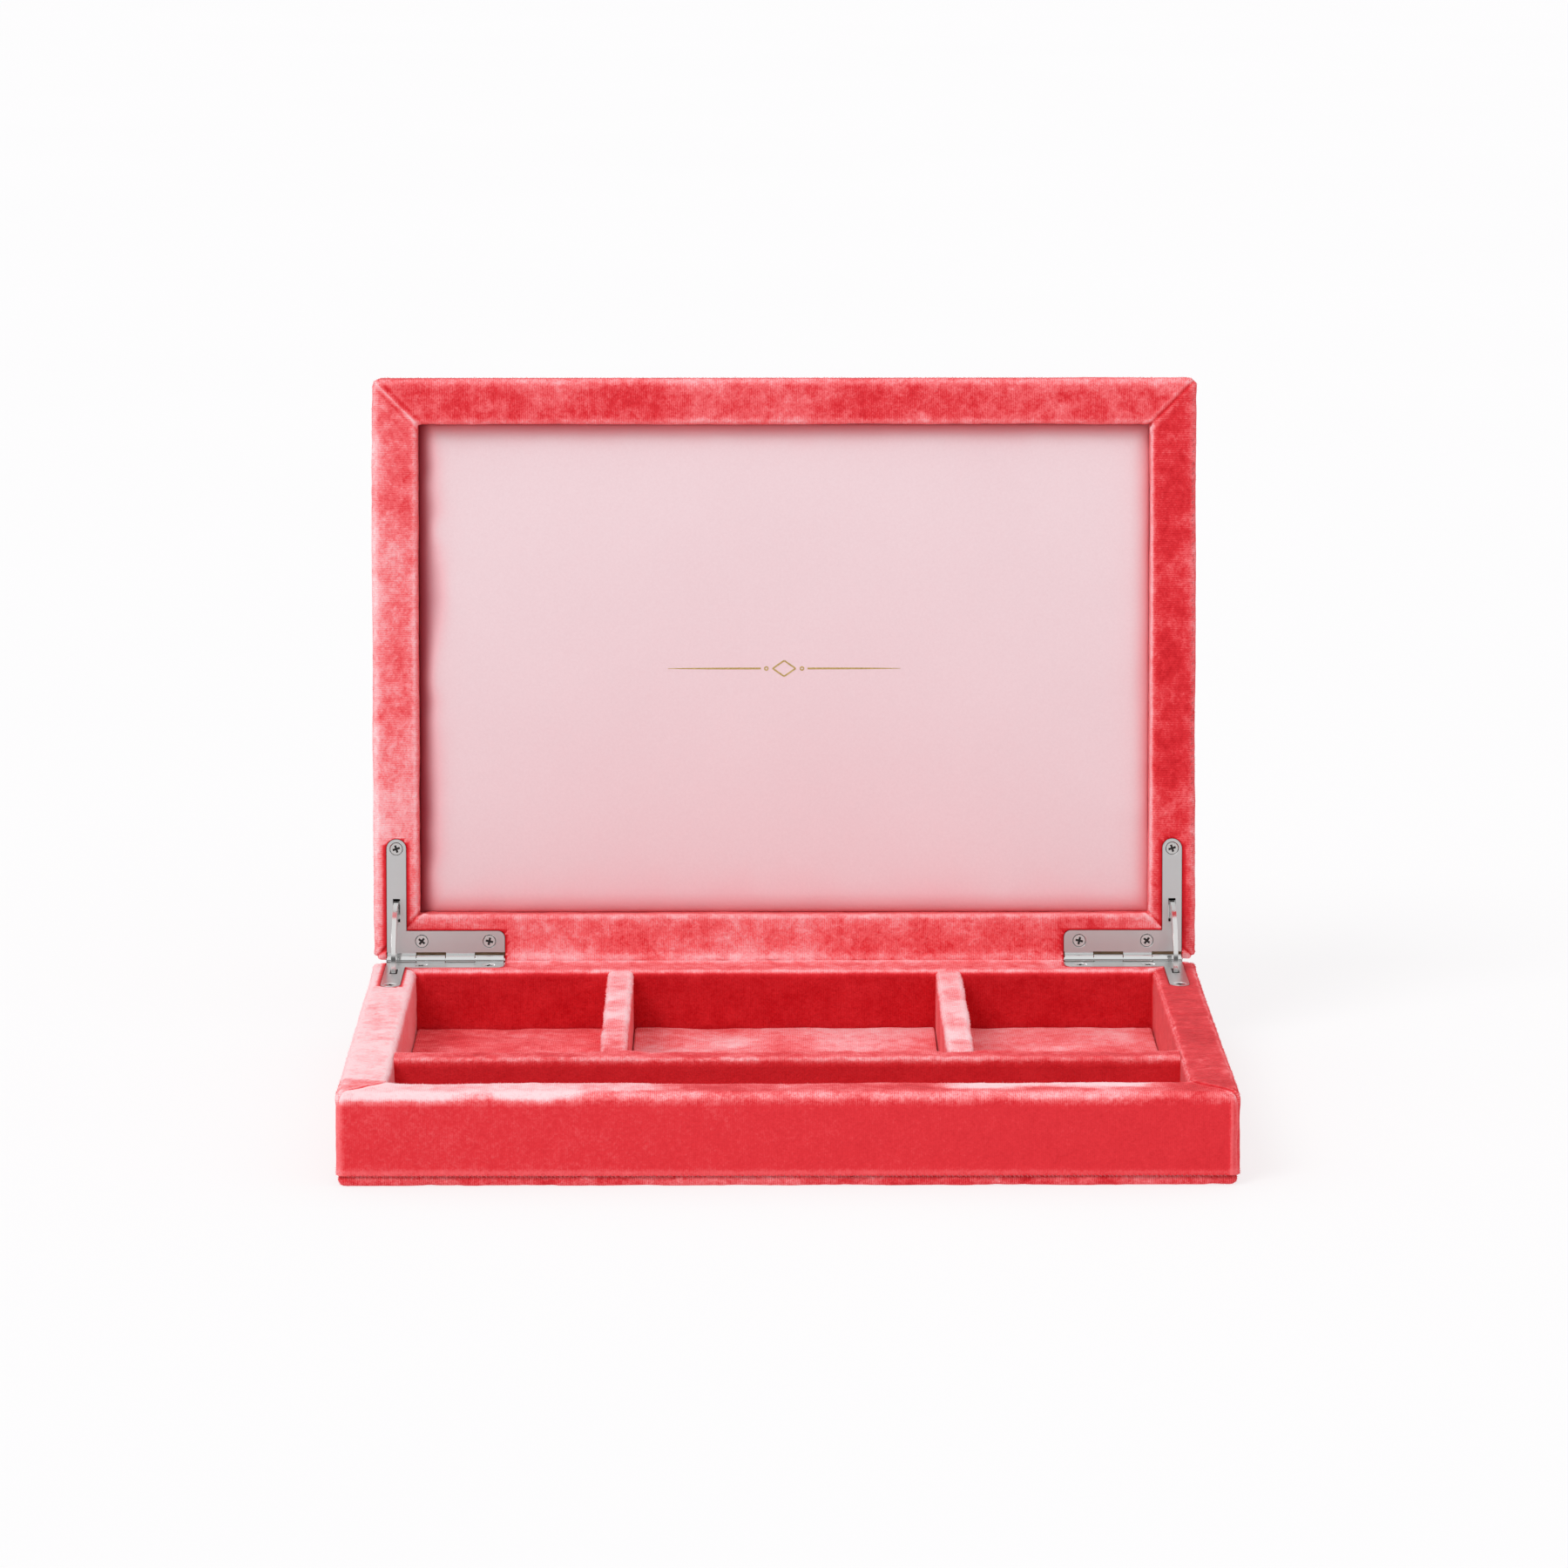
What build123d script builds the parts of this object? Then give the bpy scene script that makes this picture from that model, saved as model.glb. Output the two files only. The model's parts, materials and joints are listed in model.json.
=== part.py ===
"""Jewellery box: a velvet-covered tray with dividers, and a lid on two quadrant hinges, shown open.

Frame: origin at the centre of the underside, +X to the right, +Y to the hinge side, +Z up, millimetres.
"""

import os
from math import asin, cos, degrees, radians, sin

from build123d import *

os.makedirs("parts", exist_ok=True)

# Overall sizes
box_width = 230.0
box_depth = 162.5
tray_height = 24.5
lid_height = 20.0
open_angle = 96.5
closed_gap = 0.4

# Rails, panels and their velvet
velvet = 0.8
tray_rail_width = 12.8
lid_rail_width = 13.0
corner_radius = 2.6
outer_edge_radius = 2.4
inner_edge_radius = 1.4
panel_thickness = 2.8
panel_inset = 0.7
panel_cover = 0.5
panel_edge_radius = 1.0
panel_board_inset = 1.6
fitting_gap = 0.1

# Dividers and floor pads
divider_thickness = 7.4
divider_centre = 45.5
cross_divider_thickness = 8.5
cross_divider_from_hinge = 112.5
divider_drop = 0.2
divider_edge_radius = 1.6
floor_pad_height = 5.3
floor_pad_gap = 0.3
floor_pad_edge_radius = 1.2

# Lid lining
satin_depth = 5.0
satin_pad_thickness = 3.0
satin_board_thickness = 2.0
lining_gap = 0.2
foil_thickness = 0.1
foil_line_length = 65.0
foil_line_width = 0.6
foil_lozenge_width = 7.0
foil_lozenge_height = 4.4
foil_from_hinge = 81.4

# Quadrant hinges
leaf_outer_x = 111.1
leaf_inner_x = 105.7
leaf_reach_x = 78.2
leaf_near = 2.26
leaf_band = 8.2
leaf_far = 33.9
leaf_thickness = 1.0
leaf_corner_radius = 2.0
leaf_recess_gap = 0.05
knuckle_count = 4
knuckle_pitch = 8.2
knuckle_gap = 0.2
knuckle_radius = 1.55
groove_radius = 2.0
pin_radius = 0.75
pin_bore_radius = 0.78
pin_overhang = 0.3
stay_x = (leaf_outer_x + leaf_inner_x) / 2
slot_width = 2.0
slot_near = 10.7
slot_far = 17.2
screw_places = [(stay_x, 31.2), (101.4, 5.3), (82.5, 5.3)]
screw_turns = [18.0, 52.0, 77.0]
screw_hole_radius = 0.9
screw_head_radius = 1.65
screw_sink_radius = 1.9
screw_shank_radius = 0.8
screw_length = 6.5
screw_head_drop = 0.12
screw_cross_length = 2.1
screw_cross_width = 0.6
screw_cross_depth = 0.7

# Stay arms, which slide through both leaves of a hinge
stay_thickness = 1.3
stay_inner_radius = 11.4
stay_outer_radius = 16.5
stay_head_width = 3.2
stay_head_near = 1.5
stay_head_far = 2.6
pocket_width = 4.0
pocket_near = 5.0
pocket_far = 17.7
pocket_depth = 15.0

# Planes. On the two faces, local y is the distance from the hinge line and local z leaves the face.
pin_point = (0, box_depth / 2, tray_height + closed_gap / 2)
turn = radians(open_angle)
tray_pin_plane = Plane(origin=pin_point, x_dir=(-1, 0, 0), z_dir=(0, 0, 1))
lid_pin_plane = Plane(origin=pin_point, x_dir=(1, 0, 0), z_dir=(0, -sin(turn), -cos(turn)))
tray_face = tray_pin_plane.offset(-closed_gap / 2)
lid_face = lid_pin_plane.offset(-closed_gap / 2)


def write(piece, label):
    """Labels a finished piece and writes its file."""
    piece.part.label = label
    export_step(piece.part, f"parts/{label}.step")


def face_towards(builder, plane, end):
    """The face furthest along the plane's normal (end -1) or against it (end 0)."""
    return builder.faces().sort_by(Axis(plane.origin, plane.z_dir))[end]


def frame_ring(face, rail_width, depth, inset):
    """A rounded rectangular frame below a face, drawn in by an inset on every covered side."""
    inner_width = box_width - 2 * rail_width + 2 * inset
    inner_depth = box_depth - 2 * rail_width + 2 * inset
    with BuildPart() as ring:
        with BuildSketch(face.offset(-inset)):
            with Locations((0, box_depth / 2)):
                RectangleRounded(box_width - 2 * inset, box_depth - 2 * inset, corner_radius - inset)
                Rectangle(inner_width, inner_depth, mode=Mode.SUBTRACT)
        extrude(amount=-(depth - inset))
        top = face_towards(ring, face, -1)
        fillet(top.outer_wire().edges(), outer_edge_radius - inset)
        top = face_towards(ring, face, -1)
        fillet(top.inner_wires()[0].edges(), inner_edge_radius - inset)
    return ring


def leaf_outline(side, grow):
    """An L: one leg forward along the side rail with a round end, one leg along the hinge line."""
    leg_half = (leaf_outer_x - leaf_inner_x) / 2
    round_centre = leaf_far - leg_half
    with Locations((side * stay_x, (leaf_near + round_centre) / 2)):
        Rectangle(2 * (leg_half + grow), round_centre - leaf_near + 2 * grow)
    with Locations((side * stay_x, round_centre)):
        Circle(leg_half + grow)
    with Locations((side * (leaf_reach_x + leaf_outer_x) / 2, (leaf_near + leaf_band) / 2)):
        Rectangle(leaf_outer_x - leaf_reach_x + 2 * grow, leaf_band - leaf_near + 2 * grow)


def knuckle_centres(side):
    """The leaf on the local +x side has the second and fourth knuckles from outside, the other the rest."""
    first = 1 if side > 0 else 0
    middles = [leaf_outer_x - (number + 0.5) * knuckle_pitch for number in range(first, knuckle_count, 2)]
    return [side * middle for middle in middles]


def hinge_cutter(pin_plane):
    """All that a frame loses to its two hinges: leaf recess, barrel groove, stay pocket, screw holes."""
    recess_floor = closed_gap / 2 + leaf_thickness + leaf_recess_gap
    with BuildPart(pin_plane) as cutter:
        for side in (-1, 1):
            with BuildSketch(pin_plane.offset(-recess_floor)):
                leaf_outline(side, leaf_recess_gap)
            extrude(amount=recess_floor + closed_gap)
            barrel_middle = side * (leaf_outer_x - knuckle_count * knuckle_pitch / 2)
            with Locations((barrel_middle, 0, 0)):
                barrel_length = knuckle_count * knuckle_pitch + 4 * pin_overhang
                Cylinder(groove_radius, barrel_length, rotation=(0, 90, 0))
            with Locations((barrel_middle, leaf_near / 2, -recess_floor / 2)):
                Box(knuckle_count * knuckle_pitch, leaf_near + 2 * leaf_recess_gap, recess_floor)
            with Locations((side * stay_x, (pocket_near + pocket_far) / 2, -pocket_depth / 2)):
                Box(pocket_width, pocket_far - pocket_near, pocket_depth)
            hole_length = screw_length + 2 * recess_floor
            with Locations(*[(side * x, y, -hole_length / 2) for x, y in screw_places]):
                Cylinder(screw_shank_radius + leaf_recess_gap, hole_length)
    return cutter


def rail_outline(which, rail_width):
    """The corners of one mitred rail as seen on the face."""
    out_x, in_x = box_width / 2, box_width / 2 - rail_width
    near, in_near = 0, rail_width
    far, in_far = box_depth, box_depth - rail_width
    outlines = {
        "rear": [(-out_x, near), (out_x, near), (in_x, in_near), (-in_x, in_near)],
        "front": [(-out_x, far), (out_x, far), (in_x, in_far), (-in_x, in_far)],
        "plus": [(out_x, near), (out_x, far), (in_x, in_far), (in_x, in_near)],
        "minus": [(-out_x, near), (-out_x, far), (-in_x, in_far), (-in_x, in_near)],
    }
    return outlines[which]


def covered_frame(owner, face, rail_width, depth, cutter, side_names):
    """Four mitred rails and the velvet that wraps their top, outer and inner sides."""
    core = frame_ring(face, rail_width, depth, velvet)
    wrap = frame_ring(face, rail_width, depth, 0)
    for which, name in side_names.items():
        with BuildPart() as rail:
            add(core.part)
            with BuildSketch(face):
                with BuildLine():
                    Polyline(*rail_outline(which, rail_width), close=True)
                make_face()
            extrude(amount=-depth, mode=Mode.INTERSECT)
            add(cutter.part, mode=Mode.SUBTRACT)
        write(rail, f"{owner}_{name}_rail")
    with BuildPart() as skin:
        add(wrap.part)
        add(core.part, mode=Mode.SUBTRACT)
        add(cutter.part, mode=Mode.SUBTRACT)
    write(skin, f"{owner}_velvet")


def covered_panel(face, depth, board_name, cover_name):
    """A thin board let into a shallow fabric cover, closing the frame's far side."""
    inner = face.offset(-(depth - panel_thickness))
    width = box_width - 2 * panel_inset
    length = box_depth - 2 * panel_inset
    with BuildPart() as cover:
        with BuildSketch(inner):
            with Locations((0, box_depth / 2)):
                RectangleRounded(width, length, corner_radius - panel_inset)
        extrude(amount=-panel_thickness)
        fillet(face_towards(cover, face, 0).outer_wire().edges(), panel_edge_radius)
        with BuildSketch(inner):
            with Locations((0, box_depth / 2)):
                Rectangle(width - 2 * panel_board_inset, length - 2 * panel_board_inset)
        extrude(amount=-(panel_thickness - panel_cover), mode=Mode.SUBTRACT)
    write(cover, cover_name)
    with BuildPart() as board:
        with BuildSketch(inner):
            with Locations((0, box_depth / 2)):
                Rectangle(width - 2 * panel_board_inset, length - 2 * panel_board_inset)
        extrude(amount=-(panel_thickness - panel_cover))
    write(board, board_name)


def divider_block(thickness, length, middle, along_x, inset):
    """An upright slab on the tray's bottom panel, its two long top edges rounded."""
    height = tray_height - panel_thickness - divider_drop - inset
    across = thickness - 2 * inset
    sizes = (length, across) if along_x else (across, length)
    with BuildPart() as slab:
        with BuildSketch(tray_face.offset(-(tray_height - panel_thickness))):
            with Locations(middle):
                Rectangle(*sizes)
        extrude(amount=height)
        long_axis = Axis.X if along_x else Axis.Y
        top = face_towards(slab, tray_face, -1)
        fillet(top.edges().filter_by(long_axis), divider_edge_radius - inset)
    return slab


def covered_divider(label, thickness, length, middle, along_x):
    """A board upright and the velvet folded over it."""
    core = divider_block(thickness, length, middle, along_x, velvet)
    write(core, f"{label}_board")
    wrap = divider_block(thickness, length, middle, along_x, 0)
    with BuildPart() as skin:
        add(wrap.part)
        add(core.part, mode=Mode.SUBTRACT)
    write(skin, f"{label}_velvet")


def flat_block(face, top_depth, thickness, width, length, middle, edge_radius):
    """A rectangular slab under a face, its top edges rounded where a radius is given."""
    with BuildPart() as slab:
        with BuildSketch(face.offset(-top_depth)):
            with Locations(middle):
                Rectangle(width, length)
        extrude(amount=-thickness)
        if edge_radius:
            fillet(face_towards(slab, face, -1).outer_wire().edges(), edge_radius)
    return slab


def hinge_leaf(pin_plane, side, label):
    """An L plate flush with the velvet, its knuckles, the stay's slot and three countersunk holes."""
    plate_top = -closed_gap / 2
    with BuildPart(pin_plane.offset(plate_top)) as leaf:
        with BuildSketch(pin_plane.offset(plate_top)) as outline:
            leaf_outline(side, 0)
            far_corner = outline.vertices().sort_by_distance((side * leaf_reach_x, leaf_band, 0))[0]
            fillet(far_corner, leaf_corner_radius)
            for centre in knuckle_centres(side):
                with Locations((centre, leaf_near / 2 + leaf_recess_gap)):
                    Rectangle(knuckle_pitch - knuckle_gap, leaf_near + 2 * leaf_recess_gap)
            with Locations((side * stay_x, (slot_near + slot_far) / 2)):
                Rectangle(slot_width, slot_far - slot_near, mode=Mode.SUBTRACT)
        extrude(amount=-leaf_thickness)
        with Locations(*[(centre, 0, closed_gap / 2) for centre in knuckle_centres(side)]):
            Cylinder(knuckle_radius, knuckle_pitch - knuckle_gap, rotation=(0, 90, 0))
        with Locations(*[(side * x, y) for x, y in screw_places]):
            CounterSinkHole(screw_hole_radius, screw_sink_radius)
        with Locations((side * stay_x, 0, closed_gap / 2)):
            Cylinder(pin_bore_radius, box_width, rotation=(0, 90, 0), mode=Mode.SUBTRACT)
    write(leaf, label)


def hinge_screws(pin_plane, side, label):
    """Three countersunk wood screws with cross recesses."""
    head_plane = pin_plane.offset(-closed_gap / 2 - screw_head_drop)
    head_height = screw_head_radius - screw_shank_radius
    from_top = (Align.CENTER, Align.CENTER, Align.MAX)
    places = [(side * x, y) for x, y in screw_places]
    with BuildPart(head_plane) as screws:
        with Locations(*places):
            Cone(screw_shank_radius, screw_head_radius, head_height, align=from_top)
            Cylinder(screw_shank_radius, screw_length - 1, align=from_top)
        with Locations(*[(x, y, -(screw_length - 1)) for x, y in places]):
            Cone(0.1, screw_shank_radius, 1, align=from_top)
        for (x, y), angle in zip(places, screw_turns):
            for quarter in (0, 90):
                with Locations(Location((x, y, 0), (0, 0, angle + quarter))):
                    Box(screw_cross_length, screw_cross_width, 2 * screw_cross_depth, mode=Mode.SUBTRACT)
    write(screws, label)


def hinge_pin(world_side, label):
    """A plain pin through the four knuckles, a little longer than they are."""
    length = knuckle_count * knuckle_pitch + 2 * pin_overhang
    middle = world_side * (leaf_outer_x - knuckle_count * knuckle_pitch / 2)
    with BuildPart(tray_pin_plane) as pin:
        with Locations((-middle, 0, 0)):
            Cylinder(pin_radius, length, rotation=(0, 90, 0))
        chamfer(pin.edges().filter_by(GeomType.CIRCLE), 0.2)
    write(pin, label)


def stay_arm(world_side, label):
    """Half of an arc about the pin, with its stop head, mirrored about the line halfway between the faces."""
    side_plane = Plane(
        origin=(world_side * stay_x, pin_point[1], pin_point[2]), x_dir=(0, -1, 0), z_dir=(-1, 0, 0)
    )
    middle_radius = (stay_inner_radius + stay_outer_radius) / 2
    head_middle = (stay_head_near + stay_head_far) / 2
    tail = degrees(asin(head_middle / middle_radius))
    sweep_angle = open_angle / 2 + tail
    half = radians(open_angle / 2)
    halfway = Plane(origin=pin_point, x_dir=(1, 0, 0), z_dir=(0, sin(half), cos(half)))
    with BuildPart() as stay:
        with BuildSketch(side_plane):
            with BuildLine():
                outer = CenterArc((0, 0), stay_outer_radius, -tail, sweep_angle)
                inner = CenterArc((0, 0), stay_inner_radius, -tail, sweep_angle)
                Line(outer @ 0, inner @ 0)
                Line(outer @ 1, inner @ 1)
            make_face()
        extrude(amount=stay_thickness / 2, both=True)
        with BuildSketch(side_plane):
            with Locations((middle_radius, -head_middle)):
                Rectangle(stay_outer_radius - stay_inner_radius, stay_head_far - stay_head_near)
        extrude(amount=stay_head_width / 2, both=True)
        mirror(about=halfway)
    write(stay, label)


# The two frames and the panels that close them
tray_cutter = hinge_cutter(tray_pin_plane)
lid_cutter = hinge_cutter(lid_pin_plane)
tray_depth = tray_height - panel_thickness
lid_depth = lid_height - panel_thickness
tray_sides = {"rear": "rear", "front": "front", "plus": "left", "minus": "right"}
lid_sides = {"rear": "rear", "front": "front", "plus": "right", "minus": "left"}
covered_frame("tray", tray_face, tray_rail_width, tray_depth, tray_cutter, tray_sides)
covered_frame("lid", lid_face, lid_rail_width, lid_depth, lid_cutter, lid_sides)
covered_panel(tray_face, tray_height, "bottom_board", "bottom_velvet")
covered_panel(lid_face, lid_height, "lid_top_board", "lid_top_velvet")

# Dividers: one right across the tray, two from it back to the rear rail
inside_half_width = box_width / 2 - tray_rail_width
inside_near = tray_rail_width
inside_far = box_depth - tray_rail_width
cross_divider_far = cross_divider_from_hinge + cross_divider_thickness
cross_divider_middle = (0, cross_divider_from_hinge + cross_divider_thickness / 2)
cross_divider_length = 2 * (inside_half_width - fitting_gap)
covered_divider("cross_divider", cross_divider_thickness, cross_divider_length, cross_divider_middle, True)
divider_length = cross_divider_from_hinge - inside_near - 2 * fitting_gap
divider_middle = (cross_divider_from_hinge + inside_near) / 2
for name, local_side in (("left", 1), ("right", -1)):
    middle = (local_side * divider_centre, divider_middle)
    covered_divider(f"{name}_divider", divider_thickness, divider_length, middle, False)

# Floor pads, one in each compartment
divider_outer_face = divider_centre + divider_thickness / 2
divider_inner_face = divider_centre - divider_thickness / 2
floor_pad_top = tray_height - panel_thickness - floor_pad_height
pad_spaces = {
    "left": (divider_outer_face, inside_half_width, inside_near, cross_divider_from_hinge),
    "middle": (-divider_inner_face, divider_inner_face, inside_near, cross_divider_from_hinge),
    "right": (-inside_half_width, -divider_outer_face, inside_near, cross_divider_from_hinge),
    "front": (-inside_half_width, inside_half_width, cross_divider_far, inside_far),
}
for name, (low_x, high_x, near, far) in pad_spaces.items():
    pad_width = high_x - low_x - 2 * floor_pad_gap
    pad_length = far - near - 2 * floor_pad_gap
    centre = ((low_x + high_x) / 2, (near + far) / 2)
    pad = flat_block(
        tray_face, floor_pad_top, floor_pad_height, pad_width, pad_length, centre, floor_pad_edge_radius
    )
    write(pad, f"{name}_floor_pad")

# Lid lining: satin pad on its board, foam behind it, foil ornament on it
lining_middle = (0, box_depth / 2)
lining_width = box_width - 2 * lid_rail_width - 2 * lining_gap
lining_length = box_depth - 2 * lid_rail_width - 2 * lining_gap
board_depth = satin_depth + satin_pad_thickness
foam_depth = board_depth + satin_board_thickness
lining_layers = {
    "satin_pad": (satin_depth, satin_pad_thickness, 1.0),
    "satin_board": (board_depth, satin_board_thickness, 0),
    "lid_foam": (foam_depth, lid_depth - foam_depth, 0),
}
for label, (top_depth, thickness, radius) in lining_layers.items():
    layer = flat_block(lid_face, top_depth, thickness, lining_width, lining_length, lining_middle, radius)
    write(layer, label)

with BuildPart() as foil_ornament:
    with BuildSketch(lid_face.offset(-satin_depth)):
        with Locations((0, foil_from_hinge)):
            Rectangle(foil_line_length, foil_line_width)
        with BuildLine():
            Polyline(
                (-foil_lozenge_width / 2, foil_from_hinge),
                (0, foil_from_hinge - foil_lozenge_height / 2),
                (foil_lozenge_width / 2, foil_from_hinge),
                (0, foil_from_hinge + foil_lozenge_height / 2),
                close=True,
            )
        make_face()
    extrude(amount=foil_thickness)
write(foil_ornament, "foil_ornament")

# Hinges. The tray's planes look the other way along X than the lid's.
for name, world_side in (("left", -1), ("right", 1)):
    hinge_leaf(tray_pin_plane, -world_side, f"{name}_hinge_tray_leaf")
    hinge_leaf(lid_pin_plane, world_side, f"{name}_hinge_lid_leaf")
    hinge_screws(tray_pin_plane, -world_side, f"{name}_hinge_tray_screws")
    hinge_screws(lid_pin_plane, world_side, f"{name}_hinge_lid_screws")
    hinge_pin(world_side, f"{name}_hinge_pin")
    stay_arm(world_side, f"{name}_stay_arm")
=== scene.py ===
import json
import math

import bmesh
import bpy
import numpy as np
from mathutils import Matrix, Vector


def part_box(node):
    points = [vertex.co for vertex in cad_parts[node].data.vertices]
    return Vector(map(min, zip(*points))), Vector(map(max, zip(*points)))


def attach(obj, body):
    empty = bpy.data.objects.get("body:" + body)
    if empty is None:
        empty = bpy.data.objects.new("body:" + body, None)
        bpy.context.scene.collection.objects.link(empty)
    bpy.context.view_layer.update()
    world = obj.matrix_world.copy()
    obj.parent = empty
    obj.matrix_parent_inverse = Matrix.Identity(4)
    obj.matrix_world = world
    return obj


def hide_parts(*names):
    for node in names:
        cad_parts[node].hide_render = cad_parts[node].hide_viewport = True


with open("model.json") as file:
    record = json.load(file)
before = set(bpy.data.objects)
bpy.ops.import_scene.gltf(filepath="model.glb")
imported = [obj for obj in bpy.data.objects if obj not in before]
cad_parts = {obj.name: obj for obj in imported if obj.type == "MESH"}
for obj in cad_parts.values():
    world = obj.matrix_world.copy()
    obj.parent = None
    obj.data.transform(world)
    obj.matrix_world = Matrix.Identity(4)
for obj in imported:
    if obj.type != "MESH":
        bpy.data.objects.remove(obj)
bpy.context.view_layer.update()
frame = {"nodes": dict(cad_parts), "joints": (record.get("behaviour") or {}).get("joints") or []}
MM = 0.001


# ---- camera

def add_camera():
    """A long lens from in front of the open box, a little above it."""
    location = Vector((-9.7 * MM, -1582.7 * MM, 374.1 * MM))
    pitch, yaw = math.radians(10.20), math.radians(0.33)
    ahead = Vector((math.sin(yaw) * math.cos(pitch), math.cos(yaw) * math.cos(pitch), -math.sin(pitch)))
    data = bpy.data.cameras.new("camera")
    data.lens, data.sensor_width = 139.5, 36.0
    camera = bpy.data.objects.new("camera", data)
    camera.location = location
    camera.rotation_euler = ahead.to_track_quat("-Z", "Y").to_euler()
    bpy.context.scene.collection.objects.link(camera)
    bpy.context.scene.camera = camera


add_camera()


# ---- places, taken from the frame

class Face:
    """A flat face of the tray or lid: x along the hinge line, h away from it, n out of the face."""

    def __init__(self, pin, away, normal, below_pin):
        self.away, self.normal = np.array(away), np.array(normal)
        self.origin = pin - below_pin * self.normal

    def world(self, x, h, n):
        """Origin plus x along X, h along the away axis and n along the normal."""
        x, h, n = np.broadcast_arrays(x, h, n)
        along = np.array((1.0, 0.0, 0.0))
        return self.origin + x[..., None] * along + h[..., None] * self.away + n[..., None] * self.normal

    def span(self, node):
        """Lowest and highest x, h, n of a CAD node."""
        mesh = frame["nodes"][node].data
        points = np.empty(len(mesh.vertices) * 3, np.float32)
        mesh.vertices.foreach_get("co", points)
        offset = points.reshape(-1, 3) - self.origin
        local = np.stack([offset[:, 0], offset @ self.away, offset @ self.normal], axis=1)
        return local.min(0), local.max(0)


lid_joint = next(joint for joint in frame["joints"] if joint["name"] == "lid_hinge")
PIN = np.array(lid_joint["pos_m"])
OPEN = math.radians(lid_joint["range_deg"][1])
HALF_GAP = PIN[2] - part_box("tray_velvet")[1].z
TRAY = Face(PIN, (0, -1, 0), (0, 0, 1), HALF_GAP)
LID = Face(PIN, (0, -math.cos(OPEN), math.sin(OPEN)), (0, -math.sin(OPEN), -math.cos(OPEN)), HALF_GAP)
VELVET = TRAY.span("tray_rear_rail")[0][1]
CORNER_RADIUS = 2.6 * MM
OUTER_EDGE = 2.4 * MM
HINGE_EDGE = 0.4 * MM


# ---- numpy helpers

def value_noise(points, cell, seed):
    """Smooth noise from -1 to 1: random values on a cubic lattice of this cell, blended by smoothstep."""
    scaled = points / cell + 1000.0
    base = np.floor(scaled).astype(np.int64)
    part = scaled - base
    part = part * part * (3 - 2 * part)
    total = np.zeros(points.shape[:-1])
    for corner in np.ndindex(2, 2, 2):
        cell_id = base + np.array(corner)
        mixed = cell_id[..., 0] * 73856093 ^ cell_id[..., 1] * 19349663 ^ cell_id[..., 2] * 83492791
        mixed = (mixed ^ seed * 2654435) * 1103515245 % 2147483648
        mixed = (mixed ^ mixed >> 13) * 69069 % 2147483648
        weight = np.prod(np.where(corner, part, 1 - part), axis=-1)
        total += weight * (mixed / 1073741824.0 - 1)
    return total


def smooth(low, high, value):
    """Smoothstep from 0 at low to 1 at high; low may be the larger."""
    t = np.clip((value - low) / (high - low), 0, 1)
    return t * t * (3 - 2 * t)


def bump_at(value, centre, width):
    """A Gaussian hill of height 1 at the centre."""
    return np.exp(-(((value - centre) / width) ** 2))


def spaced(length, fine, coarse, zone):
    """Shares of a length from 0 up to, not including, 1: fine steps in both end zones, coarse between."""
    ends = np.arange(0, zone, fine)
    middle = np.linspace(zone, length - zone, max(2, round((length - 2 * zone) / coarse)))
    return np.concatenate([ends, middle, length - ends[:0:-1]]) / length


def line(start, end, step):
    """Even points from start up to, not including, end."""
    start, end = np.array(start, float), np.array(end, float)
    count = max(1, round(np.linalg.norm(end - start) / step))
    return start + (end - start) * (np.arange(count) / count)[:, None]


def arc(centre, radius, first, last, count):
    """Points on an arc from the first angle up to, not including, the last, in degrees."""
    angle = np.radians(first + (last - first) * np.arange(count) / count)
    return np.array(centre) + radius * np.stack([np.cos(angle), np.sin(angle)], axis=1)


# ---- mesh helpers

def link(name, mesh):
    """A new object at the origin that holds the mesh."""
    made = bpy.data.objects.new(name, mesh)
    bpy.context.scene.collection.objects.link(made)
    return made


def outward(mesh, merge=0.0):
    """Merges doubled points if asked and turns all faces of closed shells outwards."""
    work = bmesh.new()
    work.from_mesh(mesh)
    if merge:
        bmesh.ops.remove_doubles(work, verts=work.verts, dist=merge)
    bmesh.ops.recalc_face_normals(work, faces=work.faces)
    work.to_mesh(mesh)
    work.free()


WELD = 0.002 * MM


def grid_faces(rows, columns, close_rows, close_columns):
    """Quads over a grid of points numbered row by row, wrapping round where asked."""
    row = np.arange(rows if close_rows else rows - 1)[:, None]
    column = np.arange(columns if close_columns else columns - 1)[None, :]
    next_row, next_column = (row + 1) % rows, (column + 1) % columns
    corners = [row * columns + column, next_row * columns + column]
    corners += [next_row * columns + next_column, row * columns + next_column]
    return np.stack(np.broadcast_arrays(*corners), axis=-1).reshape(-1, 4)


def solid(name, points, faces, masks=None, merge=0.0, sharp=40):
    """An object from points, faces and named per-point numbers, with faces outwards and smooth shading."""
    mesh = bpy.data.meshes.new(name)
    mesh.from_pydata(points.reshape(-1, 3).tolist(), [], faces)
    for mask_name, values in (masks or {}).items():
        mask = mesh.attributes.new(mask_name, "FLOAT", "POINT")
        mask.data.foreach_set("value", np.ravel(values).astype(np.float32))
    outward(mesh, merge)
    made = link(name, mesh)
    shade(made, sharp)
    return made


def grid_piece(name, points, close_rows=False, close_columns=False, caps=False, masks=None):
    """A mesh from a grid of points, with optional end caps."""
    rows, columns = points.shape[:2]
    faces = grid_faces(rows, columns, close_rows, close_columns).tolist()
    if caps:
        faces.append(list(range(columns)))
        faces.append(list(range((rows - 1) * columns, rows * columns)))
    full_masks = {key: np.broadcast_to(values, (rows, columns)) for key, values in (masks or {}).items()}
    return solid(name, points, faces, full_masks)


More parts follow.
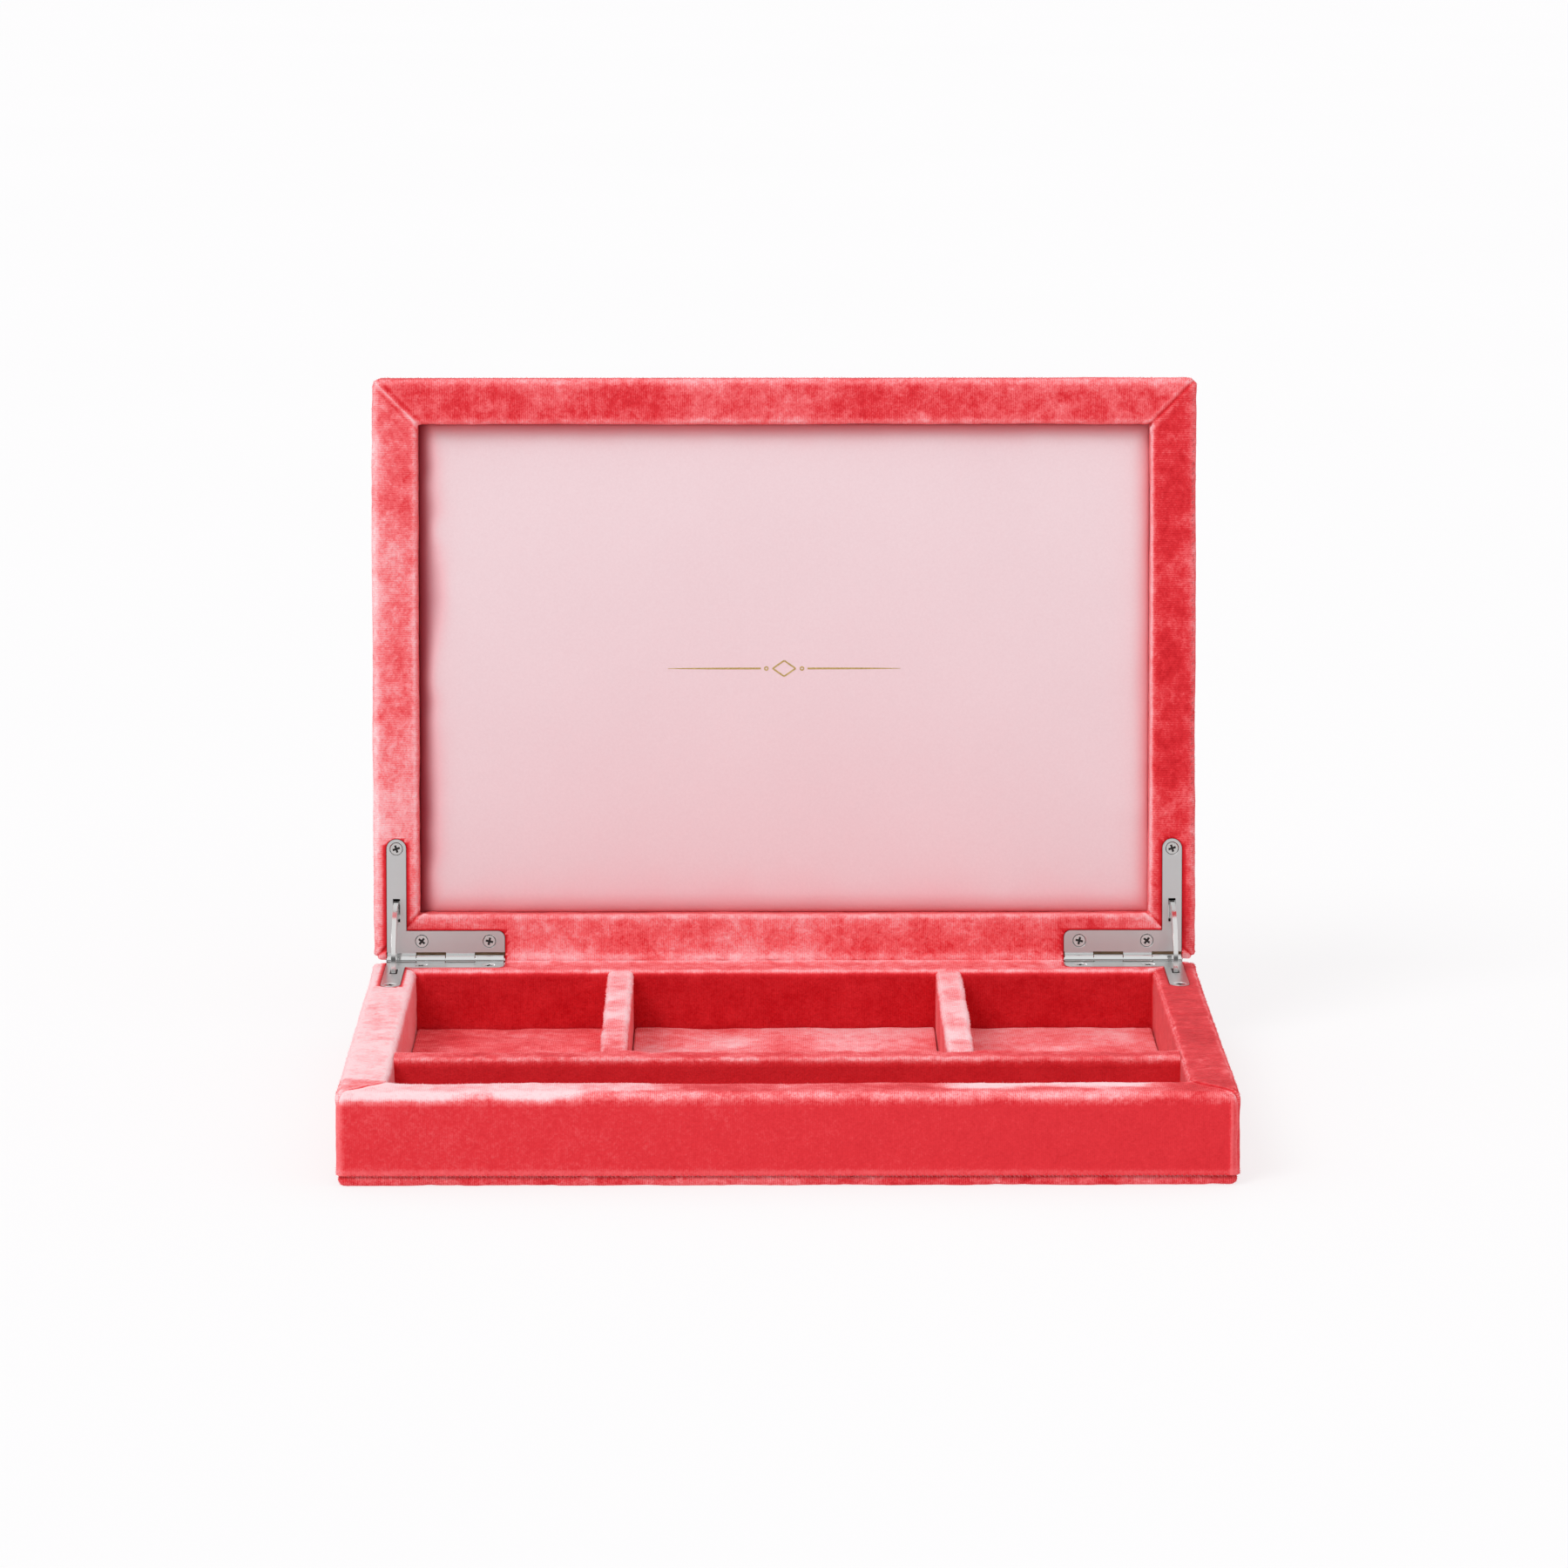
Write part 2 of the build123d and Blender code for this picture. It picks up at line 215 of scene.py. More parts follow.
def shade(piece, angle=40):
    """Smooth shading with sharp edges kept where faces meet at more than the angle."""
    mesh = piece.data
    mesh.polygons.foreach_set("use_smooth", [True] * len(mesh.polygons))
    mesh.set_sharp_from_angle(angle=math.radians(angle))


def normals_of(points, close_rows, close_columns):
    """Unit normals of a grid, from central differences, wrapping round where asked."""
    def slope(axis, closed):
        """Difference between each point's neighbours along an axis."""
        if closed:
            return np.roll(points, -1, axis) - np.roll(points, 1, axis)
        return np.gradient(points, axis=axis)

    normal = np.cross(slope(0, close_rows), slope(1, close_columns))
    return normal / np.maximum(np.linalg.norm(normal, axis=-1, keepdims=True), 1e-12)


def place(piece, body, slot, material, *replaced):
    """Gives a piece its finish, its body and the CAD nodes that it stands for."""
    piece.data.materials.clear()
    piece.data.materials.append(material)
    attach(piece, body)
    if replaced:
        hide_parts(*replaced)
    return piece


# ---- shader helpers

class Number:
    """A socket that carries a number; arithmetic on it adds Math nodes."""

    def __init__(self, shader, socket):
        self.shader, self.socket = shader, socket

    def math(self, operation, *others):
        """A Math node on this number and the others."""
        values = {place: other for place, other in enumerate((self, *others))}
        made = self.shader.node("ShaderNodeMath", {"operation": operation}, values)
        return Number(self.shader, made.outputs[0])

    def __add__(self, other):
        return self.math("ADD", other)

    def __mul__(self, other):
        return self.math("MULTIPLY", other)

    def __sub__(self, other):
        return self.math("SUBTRACT", other)

    def __rsub__(self, other):
        return (self * -1.0).math("ADD", other)

    __radd__, __rmul__ = __add__, __mul__


class Shader:
    """A material with one Principled shader, whose nodes are added by one method."""

    def __init__(self, name, **uniform):
        self.material = bpy.data.materials.new(name)
        self.material.use_nodes = True
        self.tree = self.material.node_tree
        self.surface = self.tree.nodes["Principled BSDF"]
        for socket, value in uniform.items():
            self.surface.inputs[socket.replace("_", " ")].default_value = value

    def node(self, kind, settings=None, values=None):
        """Adds a node, sets it up, then gives its sockets their values or links."""
        made = self.tree.nodes.new(kind)
        for key, value in (settings or {}).items():
            if key == "stops":
                ramp = made.color_ramp.elements
                while len(ramp) < len(value):
                    ramp.new(0.5)
                for element, (position, colour) in zip(ramp, value):
                    element.position, element.color = position, (*colour, 1)
            else:
                setattr(made, key, value)
        for socket, value in (values or {}).items():
            if isinstance(value, Number):
                value = value.socket
            if isinstance(value, bpy.types.NodeSocket):
                self.tree.links.new(value, made.inputs[socket])
            else:
                made.inputs[socket].default_value = value
        return made

    def feed(self, socket, value):
        """Links a number or colour to the Principled shader."""
        source = value.socket if isinstance(value, Number) else value
        self.tree.links.new(source, self.surface.inputs[socket])

    def where(self):
        """The piece's own coordinates, in metres."""
        return self.node("ShaderNodeTexCoord").outputs["Object"]

    def mask(self, name):
        """A number stored on the mesh."""
        return Number(self, self.node("ShaderNodeAttribute", {"attribute_name": name}).outputs["Fac"])

    def noise(self, size, detail=2.0, rough=0.5, stretch=(1, 1, 1), shift=(0, 0, 0)):
        """Noise from 0 to 1 whose features are about this many metres across."""
        mapping = {"Vector": self.where(), "Location": shift, "Scale": stretch}
        moved = self.node("ShaderNodeMapping", None, mapping)
        values = {"Vector": moved.outputs[0], "Scale": 1 / size, "Detail": detail, "Roughness": rough}
        return Number(self, self.node("ShaderNodeTexNoise", None, values).outputs[0])

    def threads(self, axis, pitch, wobble):
        """Lines across one axis: the sine of the coordinate over the pitch, bent by noise."""
        parts = self.node("ShaderNodeSeparateXYZ", None, {"Vector": self.where()})
        along = Number(self, parts.outputs[axis]) + (self.noise(6 * pitch) - 0.5) * wobble
        return (along * (2 * math.pi / pitch)).math("SINE")

    def ramp(self, value, stops):
        """A colour from a number, by places and colours."""
        return self.node("ShaderNodeValToRGB", {"stops": stops}, {"Fac": value}).outputs["Color"]

    def bump(self, height, distance, strength=1.0):
        """Relief from a number, this deep in metres."""
        values = {"Height": height, "Distance": distance, "Strength": strength}
        self.feed("Normal", self.node("ShaderNodeBump", None, values).outputs["Normal"])


# ---- materials

# Velvet colours from the dye's deep red up to pale blush; the paler ones serve as painted sheen.
DEEP_RED = (0.50, 0.004, 0.010)
CORAL = (0.78, 0.036, 0.047)
ROSE = (0.95, 0.165, 0.180)
PALE_ROSE = (1.00, 0.46, 0.49)
BLUSH = (1.00, 0.70, 0.73)


def velvet_material(name, weave=0.06, crush=0.26, streak=0.34):
    """Crushed velvet: the pile's lean sets the shade, from deep red to blush, with threads and tufts; the
    paler shades are painted sheen, and the edge mask adds a painted highlight.
    """
    sheen = {"Sheen_Weight": 0.30, "Sheen_Roughness": 0.40, "Sheen_Tint": (1.0, 0.60, 0.62, 1)}
    shader = Shader(name, Roughness=0.95, **sheen)
    shader.surface.inputs["Specular IOR Level"].default_value = 0.10
    patches = shader.noise(16 * MM, 5.0, 0.62) - 0.5
    smears = shader.noise(4.5 * MM, 5.0, 0.66, shift=(0.3, 0.1, 0.2)) - 0.5
    tufts = shader.noise(1.5 * MM, 4.0, 0.70, shift=(0.7, 0.2, 0.5)) - 0.5
    pile = shader.noise(0.55 * MM, 2.0, 0.6) - 0.5
    across_x = shader.threads("X", 0.52 * MM, 0.6 * MM)
    across_z = shader.threads("Z", 0.52 * MM, 0.6 * MM)
    upright = shader.mask("upright")
    lines = across_x * (1 - upright) + across_z * upright
    wild = shader.mask("wild")
    # The pile's lean, with its patches, smears and tufts, drives the colour as painted sheen: paler where
    # the pile catches the light.
    lean = shader.mask("nap") + patches * wild * crush * 2.0 + smears * wild * streak * 2.0
    lean = lean + tufts * (wild * 0.30 + 0.12) + pile * (wild * 0.16 + 0.16)
    # The edge mask adds a painted highlight along lit edges and seams.
    lean = lean + lines * (wild * weave + 0.008) + shader.mask("edge") * 0.24
    tones = [(0.0, DEEP_RED), (0.34, CORAL), (0.56, ROSE), (0.80, PALE_ROSE), (1.0, BLUSH)]
    shader.feed("Base Color", shader.ramp(lean, tones))
    shader.bump(tufts * (wild * 0.7 + 0.5) + pile * 0.6 + smears * 0.4, 0.50 * MM, 0.60)
    return shader.material


def satin_material():
    """Pale pink satin: fine speckle, slow shade changes, a soft gloss, and a rim of painted shadow and
    painted reflection of the red velvet beside it.
    """
    shader = Shader("satin", Sheen_Weight=0.10, Sheen_Roughness=0.4)
    shader.surface.inputs["Specular IOR Level"].default_value = 0.40
    speckle = shader.noise(0.7 * MM, 3.0, 0.65) - 0.5
    drift = shader.noise(60 * MM, 2.0, 0.5) - 0.5
    shade_of = speckle * 0.45 + drift * 0.30 + 0.5
    cloth = shader.ramp(shade_of, [(0.2, (0.84, 0.640, 0.680)), (0.8, (0.93, 0.765, 0.800))])
    # The rim mask paints shadow and the red velvet's reflection along the border: rosy where it is weak,
    # dark maroon where it is strong.
    rim = shader.mask("rim")
    rim_shade_and_reflection = shader.ramp(rim, [(0.35, (0.96, 0.36, 0.42)), (0.95, (0.36, 0.06, 0.09))])
    mixed = shader.node("ShaderNodeMix", {"data_type": "RGBA"}, {0: rim, 6: cloth, 7: rim_shade_and_reflection})
    shader.feed("Base Color", mixed.outputs[2])
    shader.feed("Roughness", speckle * 0.15 + 0.36)
    weave = shader.threads("X", 0.35 * MM, 0.1 * MM) * shader.threads("Z", 0.35 * MM, 0.1 * MM)
    shader.bump(weave * 0.3 + speckle, 0.05 * MM, 0.5)
    return shader.material


def nickel_material(name, tint, flat_roughness, barrel_roughness):
    """Nickel plate: satin on the flats, bright within the barrel's radius of the hinge line."""
    shader = Shader(name, Metallic=1.0)
    haze = shader.noise(6 * MM, 3.0, 0.6) - 0.5
    polish = shader.noise(0.25 * MM, 2.0, 0.5, stretch=(0.06, 1, 1)) - 0.5
    dark = tuple(0.93 * part for part in tint)
    shader.feed("Base Color", shader.ramp(haze * 0.6 + 0.5, [(0.2, dark), (0.8, tint)]))
    parts = shader.node("ShaderNodeSeparateXYZ", None, {"Vector": shader.where()})
    from_y, from_z = Number(shader, parts.outputs["Y"]) - PIN[1], Number(shader, parts.outputs["Z"]) - PIN[2]
    on_flat = (from_y * from_y + from_z * from_z).math("SQRT").math("GREATER_THAN", 1.95 * MM)
    roughness = on_flat * (flat_roughness - barrel_roughness) + barrel_roughness
    shader.feed("Roughness", roughness + polish * 0.04)
    shader.bump(polish, 0.01 * MM, 0.2)
    return shader.material


def screw_material(name, face):
    """Nickel screws: bright on the head, with painted shade below its rim and down in the cross."""
    shader = Shader(name, Metallic=1.0)
    parts = shader.node("ShaderNodeSeparateXYZ", None, {"Vector": shader.where()})
    along_y = (Number(shader, parts.outputs["Y"]) - face.origin[1]) * face.normal[1]
    along_z = (Number(shader, parts.outputs["Z"]) - face.origin[2]) * face.normal[2]
    depth = (along_y + along_z) * (-1 / MM)
    # Painted shade: from 0.13 mm below the face the colour turns near black by 0.21 mm, over the head's
    # bevel and in the cross.
    shader.feed("Base Color", shader.ramp(depth, [(0.13, (0.74, 0.72, 0.71)), (0.21, (0.05, 0.045, 0.045))]))
    grain = shader.noise(0.4 * MM, 2.0, 0.5)
    shader.feed("Roughness", grain * 0.12 + 0.16)
    shader.bump(grain, 0.01 * MM, 0.3)
    return shader.material


def foil_material():
    """Gold foil pressed on cloth, broken up a little by the weave under it."""
    shader = Shader("gold_foil", Metallic=0.85)
    grain = shader.noise(0.35 * MM, 2.0, 0.6)
    shader.feed("Base Color", shader.ramp(grain, [(0.3, (0.50, 0.33, 0.09)), (0.7, (0.86, 0.66, 0.28))]))
    shader.feed("Roughness", grain * 0.3 + 0.2)
    shader.bump(grain, 0.03 * MM, 0.5)
    return shader.material


def board_material(name, light, dark, fibre):
    """Pressed fibres: speckled light and dark, rough all over."""
    shader = Shader(name, Roughness=0.85)
    specks = shader.noise(fibre, 4.0, 0.65, stretch=(0.4, 1, 1))
    shader.feed("Base Color", shader.ramp(specks, [(0.3, dark), (0.7, light)]))
    shader.bump(specks, 0.1 * MM, 0.5)
    return shader.material


def thread_material():
    """Sewing thread: twisted strands in dark red."""
    shader = Shader("thread", Roughness=0.6, Sheen_Weight=0.3)
    twist = shader.noise(0.2 * MM, 2.0, 0.5)
    shader.feed("Base Color", shader.ramp(twist, [(0.3, (0.34, 0.012, 0.018)), (0.7, (0.80, 0.10, 0.11))]))
    shader.bump(twist, 0.05 * MM, 0.5)
    return shader.material


FRAME_VELVET = velvet_material("frame_velvet")
FLOOR_VELVET = velvet_material("floor_velvet", weave=0.08, crush=0.30, streak=0.35)
SATIN = satin_material()
LEAF_NICKEL = nickel_material("leaf_nickel", (0.75, 0.76, 0.76), 0.30, 0.06)
STAY_NICKEL = nickel_material("stay_nickel", (0.78, 0.765, 0.76), 0.14, 0.10)
SCREW_NICKEL = {
    half: screw_material(f"{half}_screw_nickel", face) for half, face in (("tray", TRAY), ("lid", LID))
}
FOIL = foil_material()
FIBREBOARD = board_material("fibreboard", (0.42, 0.28, 0.16), (0.25, 0.15, 0.08), 1.5 * MM)
GREY_BOARD = board_material("grey_board", (0.34, 0.32, 0.30), (0.20, 0.19, 0.18), 1.0 * MM)
FOAM = board_material("foam", (0.80, 0.78, 0.70), (0.60, 0.58, 0.50), 0.6 * MM)
THREAD = thread_material()


# ---- loose pile

# the highest that cloth and loose tips stand over their face, so that the closed halves clear each other
CLOTH_CEILING, TIP_CEILING = 0.17 * MM, 0.12 * MM


def off_the_hinges(x, h):
    """1 where the velvet is clear of the hinge leaves, 0 over them."""
    across = np.abs(x)
    over_leg = (across > 104.8 * MM) & (across < 112.2 * MM) & (h < 35.5 * MM)
    over_band = (across > 76.5 * MM) & (across < 112.2 * MM) & (h < 9.8 * MM)
    return np.where(over_leg | over_band, 0.0, 1.0)


def body_floor(body):
    """The node whose far side is the lowest that the tray or lid reaches behind its face."""
    return "bottom_velvet" if body == "tray" else "lid_top_velvet"


def loose_pile(name, face, points, normal, chance, lean, count, length, body, seed):
    """Slim three-sided spikes rooted at random grid points, picked by chance, along the normal plus scatter.

    Tips stay under a low ceiling over the face, so that the closed lid and tray do not meet."""
    random = np.random.default_rng(seed)
    picked = random.choice(chance.size, count, p=chance.ravel() / chance.sum())
    rows, columns = np.unravel_index(picked, chance.shape)
    blend = random.random((count, 1))
    next_rows = np.minimum(rows + 1, chance.shape[0] - 1)
    root = points[rows, columns] * (1 - blend) + points[next_rows, columns] * blend
    up = normal[rows, columns] + 0.5 * random.normal(size=(count, 3))
    up /= np.linalg.norm(up, axis=1, keepdims=True)
    side = np.cross(up, random.normal(size=(count, 3)))
    side /= np.linalg.norm(side, axis=1, keepdims=True)
    third = np.cross(up, side)
    tip = root + up * length * random.uniform(0.45, 1.0, (count, 1))
    level = (tip - face.origin) @ face.normal
    over = np.maximum(level - TIP_CEILING, 0)
    under = np.maximum(face.span(body_floor(body))[0][2] - level, 0)
    tip = tip + (under - over)[:, None] * face.normal
    root = root - 0.08 * MM * up
    turn = np.arange(3) * 2 * math.pi / 3
    ring = side[:, None] * np.cos(turn)[:, None] + third[:, None] * np.sin(turn)[:, None]
    corners = np.concatenate([root[:, None] + 0.055 * MM * ring, tip[:, None]], axis=1)
    one = np.array([(0, 1, 3), (1, 2, 3), (2, 0, 3), (0, 2, 1)])
    faces = (one[None] + 4 * np.arange(count)[:, None, None]).reshape(-1, 3)
    # Each tip takes the painted sheen of its root, mostly a little paler, as a painted highlight on the
    # loose fibres.
    shade_of = np.repeat(lean[rows, columns] + random.uniform(-0.06, 0.22, count), 4)
    masks = {"nap": shade_of, "edge": 0 * shade_of, "wild": 0 * shade_of, "upright": 0 * shade_of}
    return place(solid(name, corners, faces.tolist(), masks, sharp=80), body, "velvet", FRAME_VELVET)


# ---- velvet frames

def stations(width, depth):
    """Places round a rectangle as (a, b) from -1 to 1, from the hinge side on, and their side numbers."""
    long_share = 2 * spaced(width, 0.35 * MM, 1.1 * MM, 4 * MM) - 1
    short_share = 2 * spaced(depth, 0.35 * MM, 1.1 * MM, 4 * MM) - 1
    one_long, one_short = np.ones_like(long_share), np.ones_like(short_share)
    a = np.concatenate([long_share, one_short, -long_share, -one_short])
    b = np.concatenate([-one_long, short_share, one_long, -short_share])
    side = np.repeat(np.arange(4), [len(long_share), len(short_share)] * 2)
    return a, b, side


def round_off(first, second, radius):
    """Bends a square corner to a quarter circle, where first and second are distances from its two sides."""
    reach_first, reach_second = radius - first, radius - second
    inside = (reach_first > 0) & (reach_second > 0)
    shrink = np.maximum(reach_first, reach_second) / np.maximum(np.hypot(reach_first, reach_second), 1e-9)
    bent = radius - reach_first * shrink, radius - reach_second * shrink
    return np.where(inside, bent[0], first), np.where(inside, bent[1], second)


def ring_points(width, depth, a, b, inset):
    """The stations drawn in by an inset, with the rectangle's corners rounded off."""
    x = a[:, None] * (width / 2 - inset)
    h = b[:, None] * (depth / 2 - inset)
    from_x, from_h = round_off(width / 2 - np.abs(x), depth / 2 - np.abs(h), CORNER_RADIUS)
    return np.sign(x) * (width / 2 - from_x), np.sign(h) * (depth / 2 - from_h) + depth / 2


def graded(start, end):
    """Points from start up to, not including, end, close together near both."""
    start, end = np.array(start, float), np.array(end, float)
    shares = spaced(np.linalg.norm(end - start), 0.3 * MM, 1.3 * MM, 2.4 * MM)
    return start + (end - start) * shares[:, None]


def frame_profile(rail_width, depth):
    """The skin's square section as (inset, height): up outside, over, down inside, and back within."""
    outer = graded((0, -depth), (0, 0))
    top = graded((0, 0), (rail_width, 0))
    inner = graded((rail_width, 0), (rail_width, -depth))
    skin = 0.75 * VELVET
    back = [(rail_width, -depth), (rail_width - skin, -depth), (rail_width - skin, -skin - 1 * MM)]
    back += [(rail_width - skin - 1 * MM, -skin), (skin + 2 * MM, -skin)]
    back += [(skin, -skin - 2 * MM), (skin, -depth)]
    section = np.concatenate([outer, top, inner, back])
    return section, len(section) - len(back) + 1


def frame_rounding(section, skin_end, a, side, width, rail_width, inner_edge):
    """The section at every station: the outer edge is tight along the hinge line and full elsewhere."""
    inset = np.broadcast_to(section[None, :, 0], (len(a), len(section)))
    n = np.broadcast_to(section[None, :, 1], inset.shape)
    near_hinge = (side == 0) * smooth(1, 1 - 20 * MM / width, np.abs(a))
    radius = (OUTER_EDGE - (OUTER_EDGE - HINGE_EDGE) * near_hinge)[:, None]
    skin = (np.arange(len(section)) < skin_end)[None, :]
    outer_inset, outer_n = round_off(inset, -n, radius)
    inner_inset, inner_n = round_off(rail_width - inset, -n, inner_edge)
    by_outer = inset < rail_width / 2
    bent_inset = np.where(by_outer, outer_inset, rail_width - inner_inset)
    bent_n = -np.where(by_outer, outer_n, inner_n)
    return np.where(skin, bent_inset, inset), np.where(skin, bent_n, n)


def by_side(side, *values):
    """One value for each side: hinge, right, far and left."""
    return np.select([side == number for number in range(4)], [value + 0.0 * side for value in values])


def tray_nap_painted_sheen(x, h, n, side, inset, rail_width):
    """How the tray's pile leans, painted as sheen in its colour: pale left, red right, white bands of sheen
    on the front rim, deep red inside.
    """
    on_top = smooth(-3.5 * MM, -0.8 * MM, n) * smooth(rail_width, rail_width - 1.2 * MM, inset)
    inside = smooth(rail_width - 1.0 * MM, rail_width, inset)
    spots = value_noise(np.stack([x, h, n], axis=-1), 17 * MM, 5)
    across = inset / rail_width + 0.20 * value_noise(np.stack([x, h, n], axis=-1), 7 * MM, 8)
    left_sheen = smooth(-22 * MM, -45 * MM, x) * smooth(0.0, 0.25, across + x / (-220 * MM) - 0.15)
    right_sheen = smooth(30 * MM, 46 * MM, x) * smooth(97 * MM, 86 * MM, x) * smooth(0.35, 0.62, across)
    front = 0.42 + 0.50 * left_sheen + 0.48 * right_sheen
    front = front + (0.24 - 0.10 * left_sheen) * spots * smooth(0.1, 0.5, np.abs(spots))
    left = 0.90 - 0.34 * smooth(0.35, 0.7, spots)
    top = by_side(side, 0.54 + 0.05 * spots, 0.26 + 0.04 * spots, front, left)
    wall = by_side(side, 0.10, 0.30, 0.10, 0.66)
    outer = by_side(side, 0.36, 0.36, 0.32 - 0.30 * x, 0.55)
    return outer * (1 - on_top) * (1 - inside) + top * on_top + wall * inside


# Painted sheen level and patch swing for each lid rail: hinge, right, far, left.
LID_LEANS = ((0.50, 0.16), (0.32, 0.03), (0.43, 0.07), (0.60, 0.13))


def lid_nap_painted_sheen(x, h, n, side, inset, rail_width):
    """How the lid's pile leans, painted as sheen in its colour: pale left rail, mid red far rail, deep red
    right rail, patchy hinge side, and lips of their own shade, palest on the right lip, which faces the
    light.
    """
    inside = smooth(rail_width - 1.2 * MM, rail_width - 0.3 * MM, inset)
    spots = value_noise(np.stack([x, h, n], axis=-1), 21 * MM, 11)
    top = by_side(side, *(level + swing * spots for level, swing in LID_LEANS))
    lip = by_side(side, 0.42, 0.60, 0.35, 0.42)
    return top * (1 - inside) + lip * inside


def velvet_frame(name, face, rail_width, nap, body, seed, inner_edge, cord, fold):
    """The frame's velvet: its section carried round the rectangle, puffed, with a tucked seam at each mitre.

    Each point moves along the surface normal by slow waves, fine pile noise, and a seam term: a groove of
    Gaussian section on the mitre line with a low ridge on each side. With cord, the far left mitre is a
    raised cord instead; with fold, a raised fold runs down the right end of the front."""
    low, high = face.span(name)
    width, depth, height = high[0] - low[0], high[1] - low[1], -low[2]
    section, skin_end = frame_profile(rail_width, height)
    a, b, side = stations(width, depth)
    inset, n = frame_rounding(section, skin_end, a, side, width, rail_width, inner_edge)
    x, h = ring_points(width, depth, a, b, inset)
    points = face.world(x, h, n)
    normal = normals_of(points, True, True)
    top_column = np.argmin(np.abs(section[:skin_end, 0] - rail_width / 2))
    normal *= np.sign(np.sum(normal[3, top_column] * face.normal))
    skin = (np.arange(len(section)) < skin_end)[None, :]
    shown = skin * smooth(0, 3 * MM, n + height)
    from_mitre = np.abs((width / 2 - np.abs(x)) - (depth / 2 - np.abs(h - depth / 2))) / math.sqrt(2)
    on_top = smooth(-4 * MM, -1.5 * MM, n)
    groove = -0.42 * MM * bump_at(from_mitre, 0, 0.35 * MM)
    groove = groove + 0.14 * MM * bump_at(from_mitre, 1.1 * MM, 0.7 * MM)
    corded = cord * (x < 0) * (h > depth / 2)
    groove = groove * (1 - corded) + 0.30 * MM * corded * bump_at(from_mitre, 0, 0.5 * MM)
    on_front = (side[:, None] == 2) * smooth(-1.5 * MM, -3 * MM, n)
    folded = fold * on_front * bump_at(x, width / 2 - 2.3 * MM, 0.5 * MM)
    on_hinge_line = (side[:, None] == 0) * smooth(1, 0.93, np.abs(a))[:, None]
    fill = 0.40 * MM * on_hinge_line * bump_at(np.hypot(inset, n), 0, 1.6 * MM)
    waves = 0.16 * MM * value_noise(points, 22 * MM, seed)
    waves = waves + 0.10 * MM * value_noise(points, 8 * MM, seed + 1)
    fluff = 0.07 * MM * value_noise(points, 1.7 * MM, seed + 2)
    fluff = fluff + 0.05 * MM * value_noise(points, 3.1 * MM, seed + 3)
    tucks = 0.22 * MM * bump_at(from_mitre, 0, 5 * MM) * value_noise(points, 2.6 * MM, seed + 4)
    soft = groove * on_top + waves * (1 - on_hinge_line * on_top) + fluff + tucks
    points = points + normal * (shown * (soft + fill + 0.3 * MM * folded - 0.12 * MM))[..., None]
    proud = np.maximum((points - face.origin) @ face.normal - CLOTH_CEILING, 0)
    points = points - proud[..., None] * face.normal
    # Painted highlights: lit pile along the outer and inner edges, beside each mitre seam, on the cord, on
    # the fold, at the ends of the far side and along the low edge of the outer walls; painted shade down the
    # mitre groove and beside the cord.
    from_outer_edge = np.hypot(inset - 0.7 * MM, n + 0.7 * MM)
    from_inner_edge = np.hypot(inset - rail_width + 0.4 * MM, n + 0.4 * MM)
    edge = bump_at(from_outer_edge, 0, 1.5 * MM) + bump_at(from_inner_edge, 0, 1.2 * MM)
    seam_light = 0.4 * bump_at(from_mitre, 1.0 * MM, 0.6 * MM) - 0.5 * bump_at(from_mitre, 0, 0.3 * MM)
    cord_light = 0.8 * bump_at(from_mitre, 0, 0.5 * MM) - 0.4 * bump_at(from_mitre, 1.2 * MM, 0.4 * MM)
    edge = edge + on_top * (seam_light * (1 - corded) + cord_light * corded)
    at_corner = bump_at(np.abs(x), width / 2 - 0.8 * MM, 0.9 * MM) * (side[:, None] == 2)
    edge = edge + 0.8 * folded + 0.8 * at_corner + 0.5 * bump_at(n, 0.8 * MM - height, 0.8 * MM)
    side_grid = np.broadcast_to(side[:, None], x.shape)
    # The pile's lean drives the colour as painted sheen.
    lean = nap(x, h, n, side_grid, inset, rail_width)
    inside = smooth(rail_width - 1.0 * MM, rail_width, inset)
    masks = {
        "nap": lean,
        "edge": edge,
        "wild": np.where(on_top > 0.5, 0.9 - 0.45 * inside, 0.15 + 0.30 * inside),
        "upright": np.where(side_grid % 2 == 1, 1.0, 0.0),
    }
    at_edges = bump_at(np.hypot(inset - 0.5 * MM, n + 0.5 * MM), 0, 0.9 * MM)
    at_edges = at_edges + 0.7 * bump_at(from_inner_edge, 0, 0.9 * MM)
    at_edges = at_edges + 0.6 * bump_at(n, 0.6 * MM - height, 0.7 * MM)
    free = skin * off_the_hinges(x, h) * (side[:, None] > 0) * (n < 0.1 * MM)
    loose_pile(f"{name}_pile", face, points, normal, at_edges * free, lean, 9000, 0.55 * MM, body, seed + 9)
    piece = grid_piece(f"{name}_cloth", points, True, True, masks=masks)
    cut_hinge_seats(piece, face)
    return place(piece, body, "velvet", FRAME_VELVET, name)


# ---- hinge seats cut in the velvet

LEAF_OUTER, LEAF_INNER, LEAF_REACH = 111.1 * MM, 105.7 * MM, 78.2 * MM
LEAF_BAND, LEAF_FAR, LEAF_THICKNESS = 8.2 * MM, 33.9 * MM, 1.0 * MM
SEAT_GAP = 0.12 * MM
BARREL_GROOVE = 2.05 * MM


def prism(name, face, outline, low, high):
    """A flat outline in (x, h) given thickness along the face normal."""
    x, h = outline[:, 0], outline[:, 1]
    levels = np.array([low, high])[:, None]
    points = face.world(x[None, :], h[None, :], levels)
    return grid_piece(name, points, close_columns=True, caps=True)


